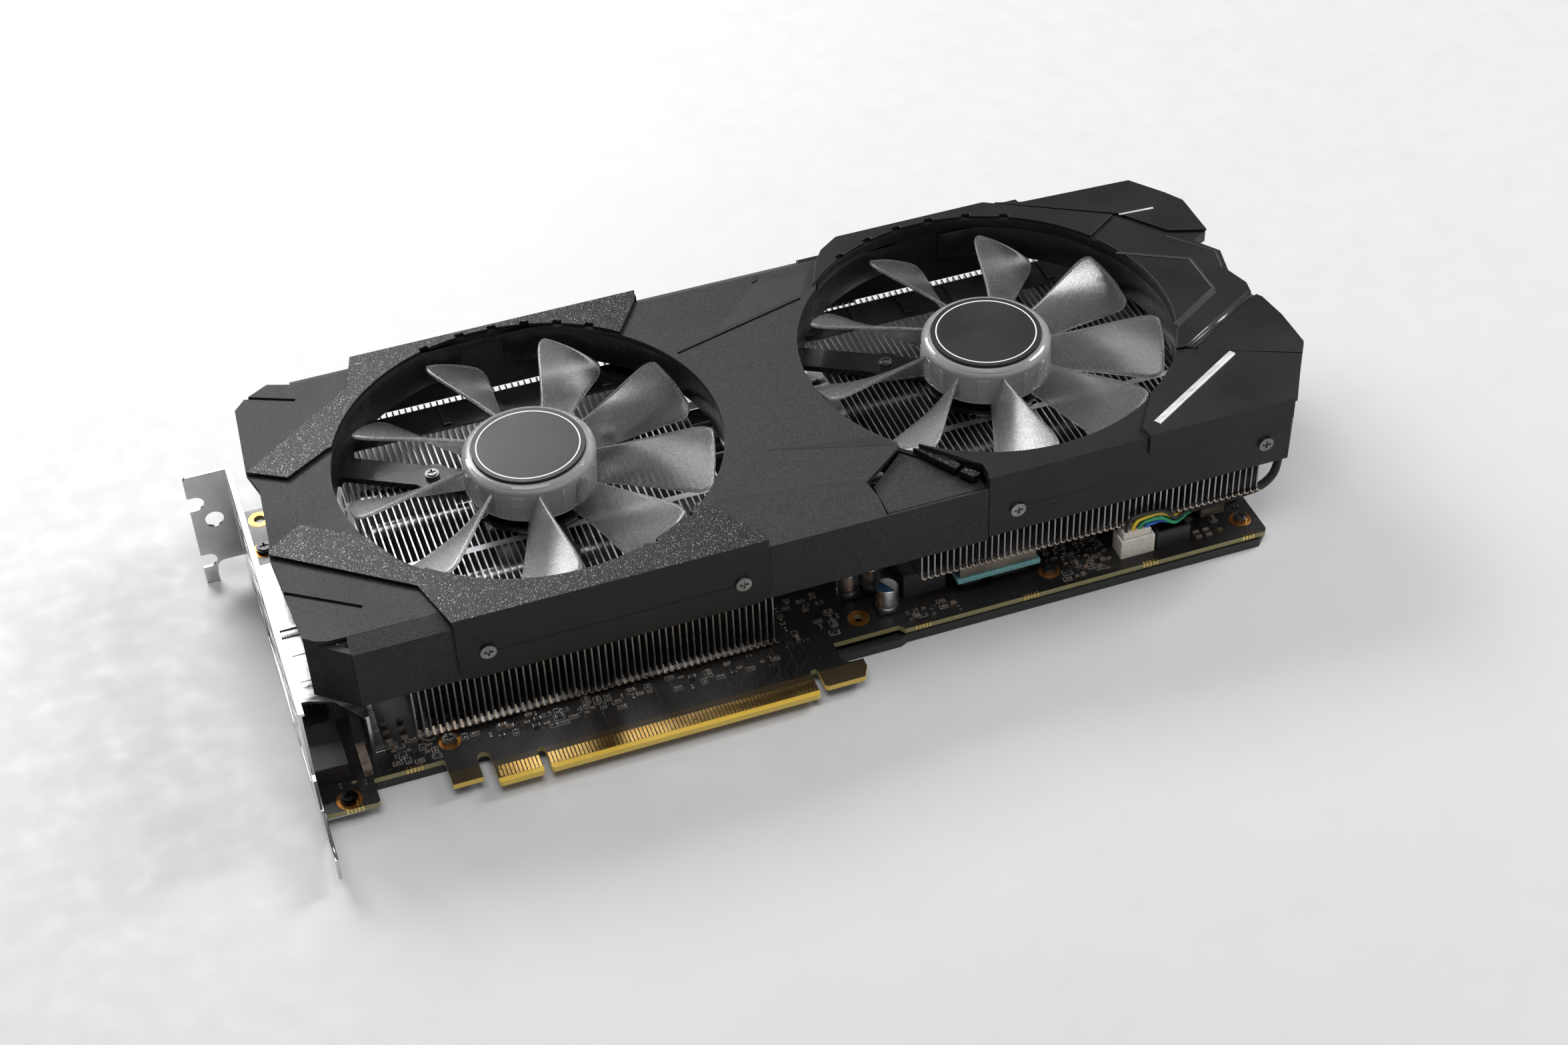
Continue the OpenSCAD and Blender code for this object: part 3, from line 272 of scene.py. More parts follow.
def make_materials():
    made = {slot: rolled_metal(*look) for slot, look in METALS.items()}
    made.update((slot, moulded(*look)) for slot, look in PLASTICS.items())

    # Charcoal cover, with a fine speckled grain, and painted shade in its gaps and inner corners
    m = Mat("cover_grain", 0.5, Specular_IOR_Level=0.32)
    speck, fine = m.cells(3600, output="Color"), m.noise(5200, 2)
    light = m.math("MULTIPLY", m.axis(speck, "X"), fine)
    grey = m.blend(m.between(light, 0.05, 0.6), (0.010, 0.010, 0.0105), (0.040, 0.040, 0.042))
    # Painted shade: the grey sinks to near black in gaps and inner corners
    m.set("Base Color", m.painted_crease_shade(grey))
    m.set("Roughness", m.between(m.noise(40, 4), 0.3, 0.7, 0.46, 0.6))
    m.bump(fine, 0.00012, 0.9)
    made["shroud_grey"] = m

    # Near-black right end, finer and glossier
    m = moulded("cover_black", (0.004, 0.004, 0.0045), (0.013, 0.013, 0.0135), 0.42, 5200, 0.00007,
                Specular_IOR_Level=0.34)
    made["shroud_black"] = m

    # Trim pieces: coarse glittering texture on top, smooth satin on the side panel, and painted shade in
    # gaps and inner corners
    m = Mat("trim_glitter", 0.36, Specular_IOR_Level=0.36)
    up = m.between(m.normal("Z"), 0.5, 0.8)
    coarse = m.noise(3400, 2)
    flake = m.axis(m.cells(3600, output="Color"), "Y")
    glint = m.math("MULTIPLY", m.between(flake, 0.86, 0.99), up)
    # Painted shade: the trim colour sinks to near black in gaps and inner corners
    m.set("Base Color", m.painted_crease_shade(m.blend(glint, (0.003, 0.003, 0.0033), (0.24, 0.24, 0.245))))
    m.set("Metallic", m.math("MULTIPLY", glint, 0.7))
    m.set("Roughness", m.between(m.math("MULTIPLY", coarse, up), 0.0, 0.7, 0.42, 0.32))
    m.bump(m.math("MULTIPLY", m.math("ADD", coarse, m.math("MULTIPLY", flake, 0.4)), up), 0.00014, 1.0)
    made["trim_sparkle"] = m


    # Frosted clear fans, with broad dark and bright patches painted in as reflections
    m = Mat("fan_frosted", 0.26, IOR=1.5, Transmission_Weight=0.93)
    frost = m.noise(3600, 2)
    cloud = m.noise(60, 2)
    # Painted reflections: a soft noise swaps the blades between a dark tone and the clear tone
    depth = m.between(m.noise(24, 1), 0.4, 0.6)
    clear = m.blend(m.between(cloud, 0.3, 0.7), (0.86, 0.87, 0.88), (0.97, 0.97, 0.98))
    m.set("Base Color", m.blend(depth, (0.58, 0.58, 0.59), clear))
    m.set("Roughness", m.between(frost, 0.3, 0.7, 0.18, 0.3))
    m.bump(frost, 0.00003, 0.5)
    made["fan_clear"] = m

    # The hub of a fan is glossier than its blades
    m = Mat("hub_clear", 0.08, IOR=1.49, Transmission_Weight=0.76)
    film = m.noise(50, 3)
    m.set("Base Color", m.blend(film, (0.86, 0.87, 0.88), (0.96, 0.96, 0.97)))
    m.set("Roughness", m.between(film, 0.3, 0.7, 0.05, 0.13))
    m.bump(film, 0.00001, 0.5)
    made["hub_clear"] = m


    # Braided sleeve: crossed strands
    m = Mat("sleeve_braid", 0.6)
    waves = []
    for turn in (0.78, -0.78):
        wave = m.add("ShaderNodeTexWave", bands_direction="X")
        m.put(m.stretched((1, 1, 1), turn), wave.inputs["Vector"])
        wave.inputs["Scale"].default_value = 900
        waves.append(wave.outputs["Fac"])
    braid = m.math("MAXIMUM", *waves)
    m.set("Base Color", m.blend(braid, (0.006, 0.006, 0.006), (0.045, 0.045, 0.047)))
    m.bump(braid, 0.0002)
    made["sleeve_black"] = m

    # Capacitor cans: bright can over a dark foot
    m = Mat("capacitor_can", 0.3, 1.0)
    above = m.step(m.axis(m.place, "Z"), at(0, 0, 0.95).z, 0.0001)
    brushed = m.noise(60, 4, (2, 2, 16))
    can = m.blend(brushed, (0.6, 0.6, 0.58), (0.85, 0.85, 0.83))
    m.set("Base Color", m.blend(above, (0.012, 0.012, 0.012), can))
    m.set("Metallic", above)
    m.set("Roughness", m.between(brushed, 0.3, 0.7, 0.22, 0.4))
    m.bump(brushed, 0.00002)
    made["can_silver"] = m

    # Circuit board: black mask with traces showing through, bare laminate on the tabs and edges
    m = Mat("board_mask", 0.32)
    x, y = m.axis(m.place, "X"), m.axis(m.place, "Y")
    side = m.between(m.math("ABSOLUTE", m.normal("Z")), 0.75, 0.6)
    tab = m.math("MULTIPLY", m.step(y, at(0, 7.7).y, -0.0003), m.step(x, at(-30, 0).x))
    weave = m.noise(900, 3)
    traces = []
    for turn, scale in ((0.0, 420), (0.785, 330), (1.571, 380)):
        wave = m.add("ShaderNodeTexWave", bands_direction="X")
        m.put(m.stretched((1, 1, 1), turn), wave.inputs["Vector"])
        wave.inputs["Scale"].default_value = scale
        wave.inputs["Distortion"].default_value = 0.0
        zone = m.between(m.axis(m.cells(70 + 9 * turn, output="Color"), "X"), 0.60, 0.62)
        traces.append(m.math("MULTIPLY", m.between(wave.outputs["Fac"], 0.72, 0.8), zone))
    copper = m.math("MAXIMUM", m.math("MAXIMUM", traces[0], traces[1]), traces[2])
    vias = m.between(m.cells(330), 0.16, 0.11)
    mask = m.blend(copper, (0.010, 0.009, 0.009), (0.021, 0.018, 0.016))
    mask = m.blend(m.math("MULTIPLY", vias, 0.6), mask, (0.05, 0.036, 0.022))
    lip = m.step(y, at(0, 1.5).y, -0.0003)
    between = m.blend(weave, (0.03, 0.02, 0.008), (0.045, 0.03, 0.012))
    laminate = m.blend(lip, between, m.blend(weave, (0.66, 0.42, 0.05), (0.78, 0.52, 0.08)))
    edge = m.blend(weave, (0.20, 0.18, 0.075), (0.36, 0.33, 0.15))
    tabbed_edge = m.blend(tab, edge, (0.74, 0.52, 0.1))
    m.set("Base Color", m.blend(side, m.blend(tab, mask, laminate), tabbed_edge))
    m.set("Roughness", m.between(m.noise(60, 3), 0.3, 0.7, 0.26, 0.42))
    m.bump(m.math("ADD", copper, m.math("MULTIPLY", m.noise(2500, 2), 0.15)), 0.00003)
    made["board"] = m
    return made


MATS = {}


def tint(name, low, high, rough, metal=0.0, scale=900, depth=0.00003):
    """A plainer material for small pieces."""
    if name not in MATS:
        m = Mat(name, rough, metal)
        fine = m.noise(scale, 3)
        m.set("Base Color", m.blend(m.between(fine, 0.3, 0.7), low, high))
        m.set("Roughness", m.between(m.noise(120, 3), 0.3, 0.7, rough * 0.8, rough * 1.2))
        m.bump(fine, depth, 0.7)
        MATS[name] = m
    return MATS[name].material


# ---------------------------------------------------------------- mesh helpers

def piece(name, mesh, materials, body="card", stands_for=()):
    o = bpy.data.objects.new(name, mesh)
    bpy.context.scene.collection.objects.link(o)
    for material in materials:
        mesh.materials.append(material)
    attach(o, body)
    if stands_for:
        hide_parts(*stands_for)
    return o


def from_bmesh(bm, name, smooth=False):
    mesh = bpy.data.meshes.new(name)
    bmesh.ops.recalc_face_normals(bm, faces=bm.faces)
    for face in bm.faces:
        face.smooth = smooth
    bm.to_mesh(mesh)
    bm.free()
    return mesh


def add_box(bm, low, high, slot=0, inset=0.0):
    """A small block whose upper edges are drawn in by inset, all in datum millimetres."""
    (x0, y0, z0), (x1, y1, z1) = low, high
    ring = lambda z, d: [bm.verts.new(at(*p, z)) for p in
                         ((x0 + d, y0 + d), (x1 - d, y0 + d), (x1 - d, y1 - d), (x0 + d, y1 - d))]
    rings = [ring(z0, 0), ring(z1 - inset, 0)] + ([ring(z1, inset)] if inset else [])
    faces = [bm.faces.new(rings[0][::-1]), bm.faces.new(rings[-1])]
    for a, b in zip(rings, rings[1:]):
        faces += [bm.faces.new((a[i], a[(i + 1) % 4], b[(i + 1) % 4], b[i])) for i in range(4)]
    for face in faces:
        face.material_index = slot
    return faces


def add_prism(bm, outline, z0, z1, slot=0, inset=0.0):
    """An extruded outline, with its upper edge drawn in by inset towards its centre."""
    n = len(outline)
    cx, cy = sum(p[0] for p in outline) / n, sum(p[1] for p in outline) / n
    def ring(z, d):
        points = []
        for x, y in outline:
            reach = math.hypot(x - cx, y - cy)
            k = (reach - d) / reach
            points.append(bm.verts.new(at(cx + (x - cx) * k, cy + (y - cy) * k, z)))
        return points
    rings = [ring(z0, 0), ring(z1 - inset, 0)] + ([ring(z1, inset)] if inset else [])
    faces = [bm.faces.new(rings[0][::-1]), bm.faces.new(rings[-1])]
    for a, b in zip(rings, rings[1:]):
        faces += [bm.faces.new((a[i], a[(i + 1) % n], b[(i + 1) % n], b[i])) for i in range(n)]
    for face in faces:
        face.material_index = slot
    return faces


def rectangle(x0, x1, y0, y1):
    return [(x0, y0), (x1, y0), (x1, y1), (x0, y1)]


def add_lathe(bm, centre, profile, segments=96, slot=0):
    """A closed profile of (radius, z) points turned about a vertical axis."""
    rings = []
    for r, z in profile:
        rings.append([bm.verts.new(at(centre[0] + r * math.cos(2 * math.pi * i / segments),
                                      centre[1] + r * math.sin(2 * math.pi * i / segments), z))
                      for i in range(segments)])
    for a, b in zip(rings, rings[1:] + rings[:1]):
        for i in range(segments):
            j = (i + 1) % segments
            bm.faces.new((a[i], a[j], b[j], b[i])).material_index = slot


def add_tube(bm, route, radius, sides=10, slot=0):
    """A round tube along a route of points in datum millimetres, smoothed between them."""
    points = smooth_route([at(*p) for p in route], 6)
    rings, side = [], None
    for i, p in enumerate(points):
        run = (points[min(i + 1, len(points) - 1)] - points[max(i - 1, 0)]).normalized()
        if side is None:
            side = run.cross(Vector((0.1, 0.2, 1))).normalized()
        side = (side - run * side.dot(run)).normalized()
        up = run.cross(side)
        rings.append([bm.verts.new(p + (side * math.cos(a) + up * math.sin(a)) * radius * MM)
                      for a in (2 * math.pi * k / sides for k in range(sides))])
    for a, b in zip(rings, rings[1:]):
        for i in range(sides):
            bm.faces.new((a[i], a[(i + 1) % sides], b[(i + 1) % sides], b[i])).material_index = slot
    for end in (rings[0][::-1], rings[-1]):
        bm.faces.new(end).material_index = slot


def add_rail(bm, route, section, slot=0):
    """A section of (across, z) points swept along a flat route, with mitred corners."""
    rings = []
    for i, (x, y) in enumerate(route):
        back, ahead = max(i - 1, 0), min(i + 1, len(route) - 1)
        before = (Vector(route[max(i, 1)]) - Vector(route[back])).normalized()
        after = (Vector(route[ahead]) - Vector(route[min(i, len(route) - 2)])).normalized()
        run = (before + after).normalized()
        wide = 1 / max(0.4, run.dot(after))
        rings.append([bm.verts.new(at(x - run.y * a * wide, y + run.x * a * wide, z)) for a, z in section])
    for a, b in zip(rings, rings[1:]):
        for i in range(len(section)):
            j = (i + 1) % len(section)
            bm.faces.new((a[i], a[j], b[j], b[i])).material_index = slot
    for end in (rings[0][::-1], rings[-1]):
        bm.faces.new(end).material_index = slot


def ridge(half, low, high, edge=0.15):
    """Section of a flat-topped ridge with chamfered edges."""
    left = [(-half, low), (-half, high - edge), (-half + edge, high)]
    return left + [(-across, z) for across, z in reversed(left)]


def smooth_route(points, steps):
    out = []
    for i in range(len(points) - 1):
        a, b, c, d = (points[max(i - 1, 0)], points[i], points[i + 1], points[min(i + 2, len(points) - 1)])
        for k in range(steps):
            t = k / steps
            out.append(0.5 * (2 * b + (c - a) * t + (2 * a - 5 * b + 4 * c - d) * t * t
                              + (3 * b - a - 3 * c + d) * t ** 3))
    return out + [points[-1]]


def soften(o, width, segments=2, angle=30, weld=True):
    """Small rounded edges, by modifiers only."""
    if weld:
        o.modifiers.new("weld", "WELD").merge_threshold = 1e-6
    bevel = o.modifiers.new("bevel", "BEVEL")
    bevel.width, bevel.segments, bevel.limit_method = width * MM, segments, "ANGLE"
    bevel.angle_limit = math.radians(angle)
    bevel.harden_normals = True
    bevel.use_clamp_overlap = True


# ---------------------------------------------------------------- fans

LEFT_FAN, RIGHT_FAN = (19.5, 77.0), (149.5, 77.0)
HUB_R, TIP_R, BLADES = 17.8, 49.2, 9
HUB_LOW, HUB_TOP = 28.4, 39.2


def blade_point(centre, k, t, u):
    """A point of blade k: t runs from hub to tip, and u from the low edge to the high edge."""
    corner = 0.82
    if t > corner:
        q = (t - corner) / (1 - corner)
        cut = 0.14 * (1 - math.sqrt(max(0.0, 1 - q * q)))
        u = cut + u * (1 - 1.6 * cut)
    lead = -8 * (1 - t) ** 2
    trail = -19 - 3 * t
    angle = math.radians(32 + 360 / BLADES * k + trail + (lead - trail) * u)
    r = HUB_R - 0.5 + t * (TIP_R - HUB_R + 0.5)
    z = 28 + 9.2 * (1.25 * u - 0.25 * u * u) + 0.5 * math.sin(math.pi * u) * (1 - t * 0.4)
    return at(centre[0] + r * math.cos(angle), centre[1] + r * math.sin(angle), z)


def make_fan(side, centre):
    bm = bmesh.new()
    rows, cols = 20, 14
    for k in range(BLADES):
        grid = [[bm.verts.new(blade_point(centre, k, i / rows, j / cols)) for j in range(cols + 1)]
                for i in range(rows + 1)]
        for i in range(rows):
            for j in range(cols):
                bm.faces.new((grid[i][j], grid[i + 1][j], grid[i + 1][j + 1], grid[i][j + 1]))
    body = f"{side}_fan"
    frosted, clear = MATS["fan_clear"].material, MATS["hub_clear"].material
    blades = piece(f"{side}_fan_blades", from_bmesh(bm, "blades", True), [frosted], body)
    shell = blades.modifiers.new("thickness", "SOLIDIFY")
    shell.thickness, shell.offset = 1.1 * MM, 0.0
    round_edge = blades.modifiers.new("round", "SUBSURF")
    round_edge.levels = round_edge.render_levels = 1

    bm = bmesh.new()
    add_lathe(bm, centre, [(HUB_R - 1.6, HUB_LOW), (HUB_R - 0.2, HUB_LOW), (HUB_R, HUB_LOW + 0.2),
                           (HUB_R, 37.6), (HUB_R - 0.3, 38.3), (HUB_R - 0.9, 38.9), (HUB_R - 1.5, HUB_TOP),
                           (15.5, HUB_TOP), (15.2, HUB_TOP - 0.2), (15.2, 38.4), (2.1, 38.4),
                           (2.1, 37.2), (HUB_R - 1.8, 37.2), (HUB_R - 1.6, 37.0)])
    for k in range(18):
        a = math.radians(20 * k + 5)
        out, across = Vector((math.cos(a), math.sin(a))), Vector((-math.sin(a), math.cos(a)))
        wide = 0.45 if k % 3 else 1.6
        low, high = HUB_LOW + 0.5, 36.6
        corners = [Vector(centre) + out * r + across * w for r, w in
                   ((HUB_R - 0.15, -wide), (HUB_R - 0.15, wide), (HUB_R + 0.3, wide), (HUB_R + 0.3, -wide))]
        add_prism(bm, [tuple(c) for c in corners], low, high)
    hub = piece(f"{side}_fan_hub", from_bmesh(bm, "hub"), [clear], body)
    soften(hub, 0.12, 2, 35, weld=False)
    for o in (blades, hub):
        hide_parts(f"{side}_fan_rotor")


def cap_material(name, centre):
    """Satin disc with one thin white ring near its rim."""
    m = Mat(name, 0.42)
    middle = m.add("ShaderNodeVectorMath", operation="SUBTRACT")
    m.put(m.place, middle.inputs[0])
    middle.inputs[1].default_value = at(*centre, 39.9)
    flat = m.add("ShaderNodeVectorMath", operation="MULTIPLY")
    m.put(middle.outputs[0], flat.inputs[0])
    flat.inputs[1].default_value = (1, 1, 0)
    reach = m.add("ShaderNodeVectorMath", operation="LENGTH")
    m.put(flat.outputs[0], reach.inputs[0])
    radius = reach.outputs["Value"]
    off = m.math("ABSOLUTE", m.math("SUBTRACT", radius, 13.7 * MM))
    ring = m.math("MULTIPLY", m.step(off, 0.17 * MM, -0.00006), m.between(m.normal("Z"), 0.5, 0.8))
    fine = m.noise(5200, 2)
    disc = m.blend(fine, (0.010, 0.010, 0.0105), (0.022, 0.022, 0.023))
    m.set("Base Color", m.blend(ring, disc, (0.85, 0.85, 0.85)))
    m.set("Roughness", m.between(m.noise(70, 3), 0.3, 0.7, 0.36, 0.5))
    m.bump(fine, 0.00004)
    return m.material


# ---------------------------------------------------------------- board details

NEAR_CANS = [(99.8, 23.8), (99, 33), (92, 33)]
SCREW_SPOTS = [(202.1, 21.3), (145.4, 21.2), (-21, 18.4), (202.1, 118), (145.4, 118), (-21, 118)]


def ring_pads():
    """Bare copper lands round the holes of the board."""
    bm = bmesh.new()
    lands = [(p, 1.95, 2.95) for p in SCREW_SPOTS]
    lands += [((-49.2, 7.9), 2.2, 3.35), ((-51.3, 107.4), 2.2, 3.3), ((91.3, 22.7), 1.3, 3.0),
              ((-50.3, 120.4), 1.6, 3.2)]
    for centre, inner, outer in lands:
        rounded = [(outer, -0.01), (outer, 0.04), (outer - 0.08, 0.06)]
        add_lathe(bm, centre, [(inner, -0.01), *rounded, (inner, 0.06)], 48)
    copper = tint("land_copper", (0.42, 0.16, 0.035), (0.62, 0.28, 0.07), 0.3, 0.9, 500)
    piece("hole_lands", from_bmesh(bm, "lands"), [copper])


def edge_marks():
    """Groups of small plated marks on the near edge of the board."""
    bm = bmesh.new()
    groups = [(-50.6, 4.6, 5), (-33.6, 12.6, 5), (104.3, 14.4, 5), (135.2, 14.4, 5), (170.0, 14.4, 5),
              (199.6, 14.4, 4)]
    for x0, y0, count in groups:
        for i in range(count):
            x = x0 + i * 0.95
            add_box(bm, (x, y0 - 0.06, -BOARD_T * 0.92), (x + 0.5, y0 + 0.1, 0.03))
            add_box(bm, (x, y0 - 0.06, -0.01), (x + 0.5, y0 + 0.75, 0.05))
    plated = tint("mark_gold", (0.75, 0.5, 0.14), (0.95, 0.72, 0.28), 0.25, 1.0, 900)
    piece("board_edge_marks", from_bmesh(bm, "marks"), [plated])


def clear_of(spots, x, y, margin):
    return all(abs(x - a) > w + margin or abs(y - b) > d + margin for a, b, w, d in spots)


def chip_parts():
    """Rows and clusters of chip resistors and capacitors with tinned ends, on printed outlines."""
    rng = random.Random(7)
    end_cap = 0.35
    bm, ink = bmesh.new(), bmesh.new()
    # Centre and half sizes of what the small parts stay clear of
    keep_off = [(a, b, 3.4, 3.4) for a, b in SCREW_SPOTS] + [(a, b, 4, 4) for a, b in NEAR_CANS] + [
        (91.3, 22.7, 3.6, 3.6), (175.2, 21, 11, 4), (111, 31, 7, 8),
        (130.7, 62, 13, 43), (196, 28.6, 4.4, 4), (204, 31.8, 3, 4), (-42.8, 19, 2, 6),
        (-49.2, 7.9, 3.6, 3.6), (-46, 26, 9, 12), (-38.6, 30, 2.6, 10), (189, 19.4, 3, 2)]
    # Each zone: x from and to, y from and to, number of parts
    zones = [(-36, -25, 14.5, 22.5, 26), (-17, 66, 14.2, 19.6, 54), (146, 162, 16.5, 30, 40),
             (104, 118, 16.5, 21, 12), (187, 205, 24, 44, 16), (70, 88, 20, 36, 22),
             (150, 205, 36, 60, 40), (-54, -43, 12, 14, 3)]
    for x0, x1, y0, y1, count in zones:
        made = 0
        for _ in range(count * 6):
            if made == count:
                break
            x = x0 + round(rng.random() * (x1 - x0) / 0.9) * 0.9
            y = y0 + round(rng.random() * (y1 - y0) / 1.1) * 1.1
            if not clear_of(keep_off, x, y, 0.4):
                continue
            keep_off.append((x, y, 0.9, 0.8))
            along = rng.random() < 0.6
            half, wide, tall = (0.8, 0.4, 0.42) if rng.random() < 0.7 else (1.0, 0.62, 0.75)
            hx, hy = (half, wide) if along else (wide, half)
            body = rng.choice((0, 0, 2))
            add_box(bm, (x - hx * 0.72, y - hy * 0.98 if along else y - hy * 0.72, 0.02),
                    (x + hx * 0.72, y + hy * 0.98 if along else y + hy * 0.72, tall), body, 0.05)
            for s in (-1, 1):
                back, ahead = (end_cap, 0) if s > 0 else (0, end_cap)
                if along:
                    low, high = (x + s * hx - back, y - hy), (x + s * hx + ahead, y + hy)
                else:
                    low, high = (x - hx, y + s * hy - back), (x + hx, y + s * hy + ahead)
                add_box(bm, (*low, 0.0), (*high, tall + 0.03), 1, 0.05)
            if rng.random() < 0.45:
                for s in (-1, 1):
                    add_box(ink, (x - hx - 0.35, y + s * (hy + 0.28) - 0.05, -0.01),
                            (x + hx + 0.35, y + s * (hy + 0.28) + 0.05, 0.02))
                    add_box(ink, (x + s * (hx + 0.35) - 0.05, y - hy - 0.28, -0.01),
                            (x + s * (hx + 0.35) + 0.05, y + hy + 0.28, 0.02))
            made += 1
    parts = [tint("chip_ceramic", (0.10, 0.07, 0.05), (0.2, 0.15, 0.11), 0.4),
             tint("tinned_end", (0.5, 0.5, 0.5), (0.75, 0.75, 0.74), 0.22, 1.0),
             tint("chip_resistor", (0.012, 0.012, 0.012), (0.03, 0.03, 0.03), 0.35)]
    piece("chip_parts", from_bmesh(bm, "chip_parts"), parts)
    white = tint("board_ink", (0.3, 0.3, 0.29), (0.5, 0.5, 0.48), 0.6)
    piece("board_outlines", from_bmesh(ink, "ink"), [white])


def board_traces():
    """Slightly raised conductors that fan out from the contacts under the black mask."""
    bm = bmesh.new()
    for i in range(0, 70, 2):
        x = 2.5 + i
        bend = 8.6 + (i % 6) * 0.7
        drift = (x - 36) * 0.08 + 1.2 * math.sin(i * 1.7)
        route = [(x, 6.2), (x, bend), (x + drift, bend + abs(drift) + 0.4), (x + drift, 20.5)]
        for (xa, ya), (xb, yb) in zip(route, route[1:]):
            reach = math.hypot(xb - xa, yb - ya) or 1
            nx, ny = -(yb - ya) / reach * 0.07, (xb - xa) / reach * 0.07
            corners = [(xa + nx, ya + ny), (xb + nx, yb + ny), (xb - nx, yb - ny), (xa - nx, ya - ny)]
            low = [bm.verts.new(at(*c, 0.0)) for c in corners]
            top = [bm.verts.new(at(*c, 0.025)) for c in corners]
            bm.faces.new(top)
            bm.faces.new(low[::-1])
            for a in range(4):
                b = (a + 1) % 4
                bm.faces.new((low[a], low[b], top[b], top[a]))
    covered = tint("covered_copper", (0.03, 0.025, 0.02), (0.055, 0.045, 0.036), 0.28)
    piece("board_traces", from_bmesh(bm, "traces"), [covered])


def capacitor_tops():
    """The blue half-moon and the rolled rim on top of each can."""
    blue = tint("can_blue", (0.015, 0.05, 0.12), (0.03, 0.09, 0.2), 0.4)
    can = tint("can_rim", (0.6, 0.6, 0.58), (0.85, 0.85, 0.83), 0.25, 1.0)
    spots = NEAR_CANS + [(98, 45 + i * 12) for i in range(5)]
    bm = bmesh.new()
    for cx, cy in spots:
        a0 = math.radians(118)
        turns = [a0 + math.pi * i / 16 for i in range(17)]
        half = [(cx + 2.55 * math.cos(a), cy + 2.55 * math.sin(a)) for a in turns]
        add_prism(bm, half, 7.98, 8.04)
        add_lathe(bm, (cx, cy), [(2.7, 7.98), (3.02, 7.95), (3.02, 8.06), (2.86, 8.14), (2.7, 8.08)], 40, 1)
        add_lathe(bm, (cx, cy), [(2.95, 1.5), (3.12, 1.55), (3.14, 1.75), (3.12, 1.95), (2.95, 2.0)], 40, 1)
    piece("capacitor_tops", from_bmesh(bm, "tops"), [blue, can])


def fan_wires():
    """Four coloured wires from the plug to the sleeve, in place of the CAD's plain ones."""
    colours = [tint("wire_black", (0.01, 0.01, 0.01), (0.03, 0.03, 0.03), 0.35),
               tint("wire_yellow", (0.75, 0.5, 0.02), (0.9, 0.66, 0.05), 0.35),
               tint("wire_green", (0.02, 0.28, 0.12), (0.04, 0.4, 0.18), 0.35),
               tint("wire_blue", (0.01, 0.10, 0.5), (0.03, 0.18, 0.7), 0.35)]
    bm = bmesh.new()
    for i in range(4):
        x, side = 167 + 2 * i, (-1 if i % 2 == 0 else 1)
        up, half = 1.5 - i, (1 if i < 2 else -1)
        route = [(x, 20, 7.9), (x, 20, 8.6), (x + 0.6, 19.9, 9.9 + 0.7 * up), (x + 2, 19.8, 10.8 + 1.3 * up),
                 (177, 19.8 + 0.3 * side, 10.8 + 1.3 * up),
                 (181, 19.75 + 0.56 * side, 8.2 + 0.46 * up + 0.32 * half),
                 (186, 22.8 + 0.6 * side, 7.3 + 0.6 * half),
                 (187.2, 23.04 + 0.6 * side, 7.18 + 0.6 * half)]
        add_tube(bm, route, 0.5, 12, i)
    wires = from_bmesh(bm, "wires", True)
    piece("fan_wires", wires, colours, stands_for=("fan_lead_wires",))


# ---------------------------------------------------------------- cover details

GREY_TOP, SHELL_TOP, NEAR_TRIM_TOP, MIDDLE_TRIM_TOP = 39.0, 40.6, 41.7, 41.3
FIN_PITCH = 1.8


def right_end_details():
    """Raised line, rounded bevel and bright bar on the right end."""
    bm = bmesh.new()
    top = MIDDLE_TRIM_TOP
    low = top - 0.05
    add_rail(bm, [(196.6, 94.9), (214.6, 84.5), (214.6, 69.6), (198.2, 58.9)], ridge(0.45, low, top + 0.3))
    add_rail(bm, [(214.0, 69.0), (197.4, 58.3)], ridge(1.15, low, top + 0.42, 0.5))
    add_rail(bm, [(213.0, 96.9), (217.9, 91.6), (222.8, 84.9), (221.1, 77.4)], ridge(0.3, low, top + 0.2))
    raised = tint("raised_line", (0.02, 0.02, 0.021), (0.05, 0.05, 0.052), 0.4, 0.0, 4200, 0.00006)
    piece("right_end_lines", from_bmesh(bm, "lines"), [raised])

    bm = bmesh.new()
    turns = [math.pi * i / 12 for i in range(13)]
    arch = [(1.45 * math.cos(a), SHELL_TOP + 0.1 + 1.5 * math.sin(a)) for a in turns]
    add_rail(bm, [(222.3, 63.9), (197.0, 48.5)], arch)
    gloss = tint("bevel_gloss", (0.05, 0.05, 0.052), (0.09, 0.09, 0.092), 0.2, 0.5, 700, 0.00001)
    piece("right_end_bevel", from_bmesh(bm, "bevel", True), [gloss])

    bm = bmesh.new()
    add_rail(bm, [(206.2, 41.6), (174.9, 22.4)], ridge(1.05, NEAR_TRIM_TOP - 0.05, NEAR_TRIM_TOP + 0.4, 0.3))
    add_rail(bm, [(205.0, 111.3), (215.4, 110.6)], ridge(0.35, SHELL_TOP + 0.85, SHELL_TOP + 1.1, 0.1))
    bars = piece("right_end_bars", from_bmesh(bm, "bars"), [MATS["bar_bright"].material])
    soften(bars, 0.08, 2, 25, weld=False)


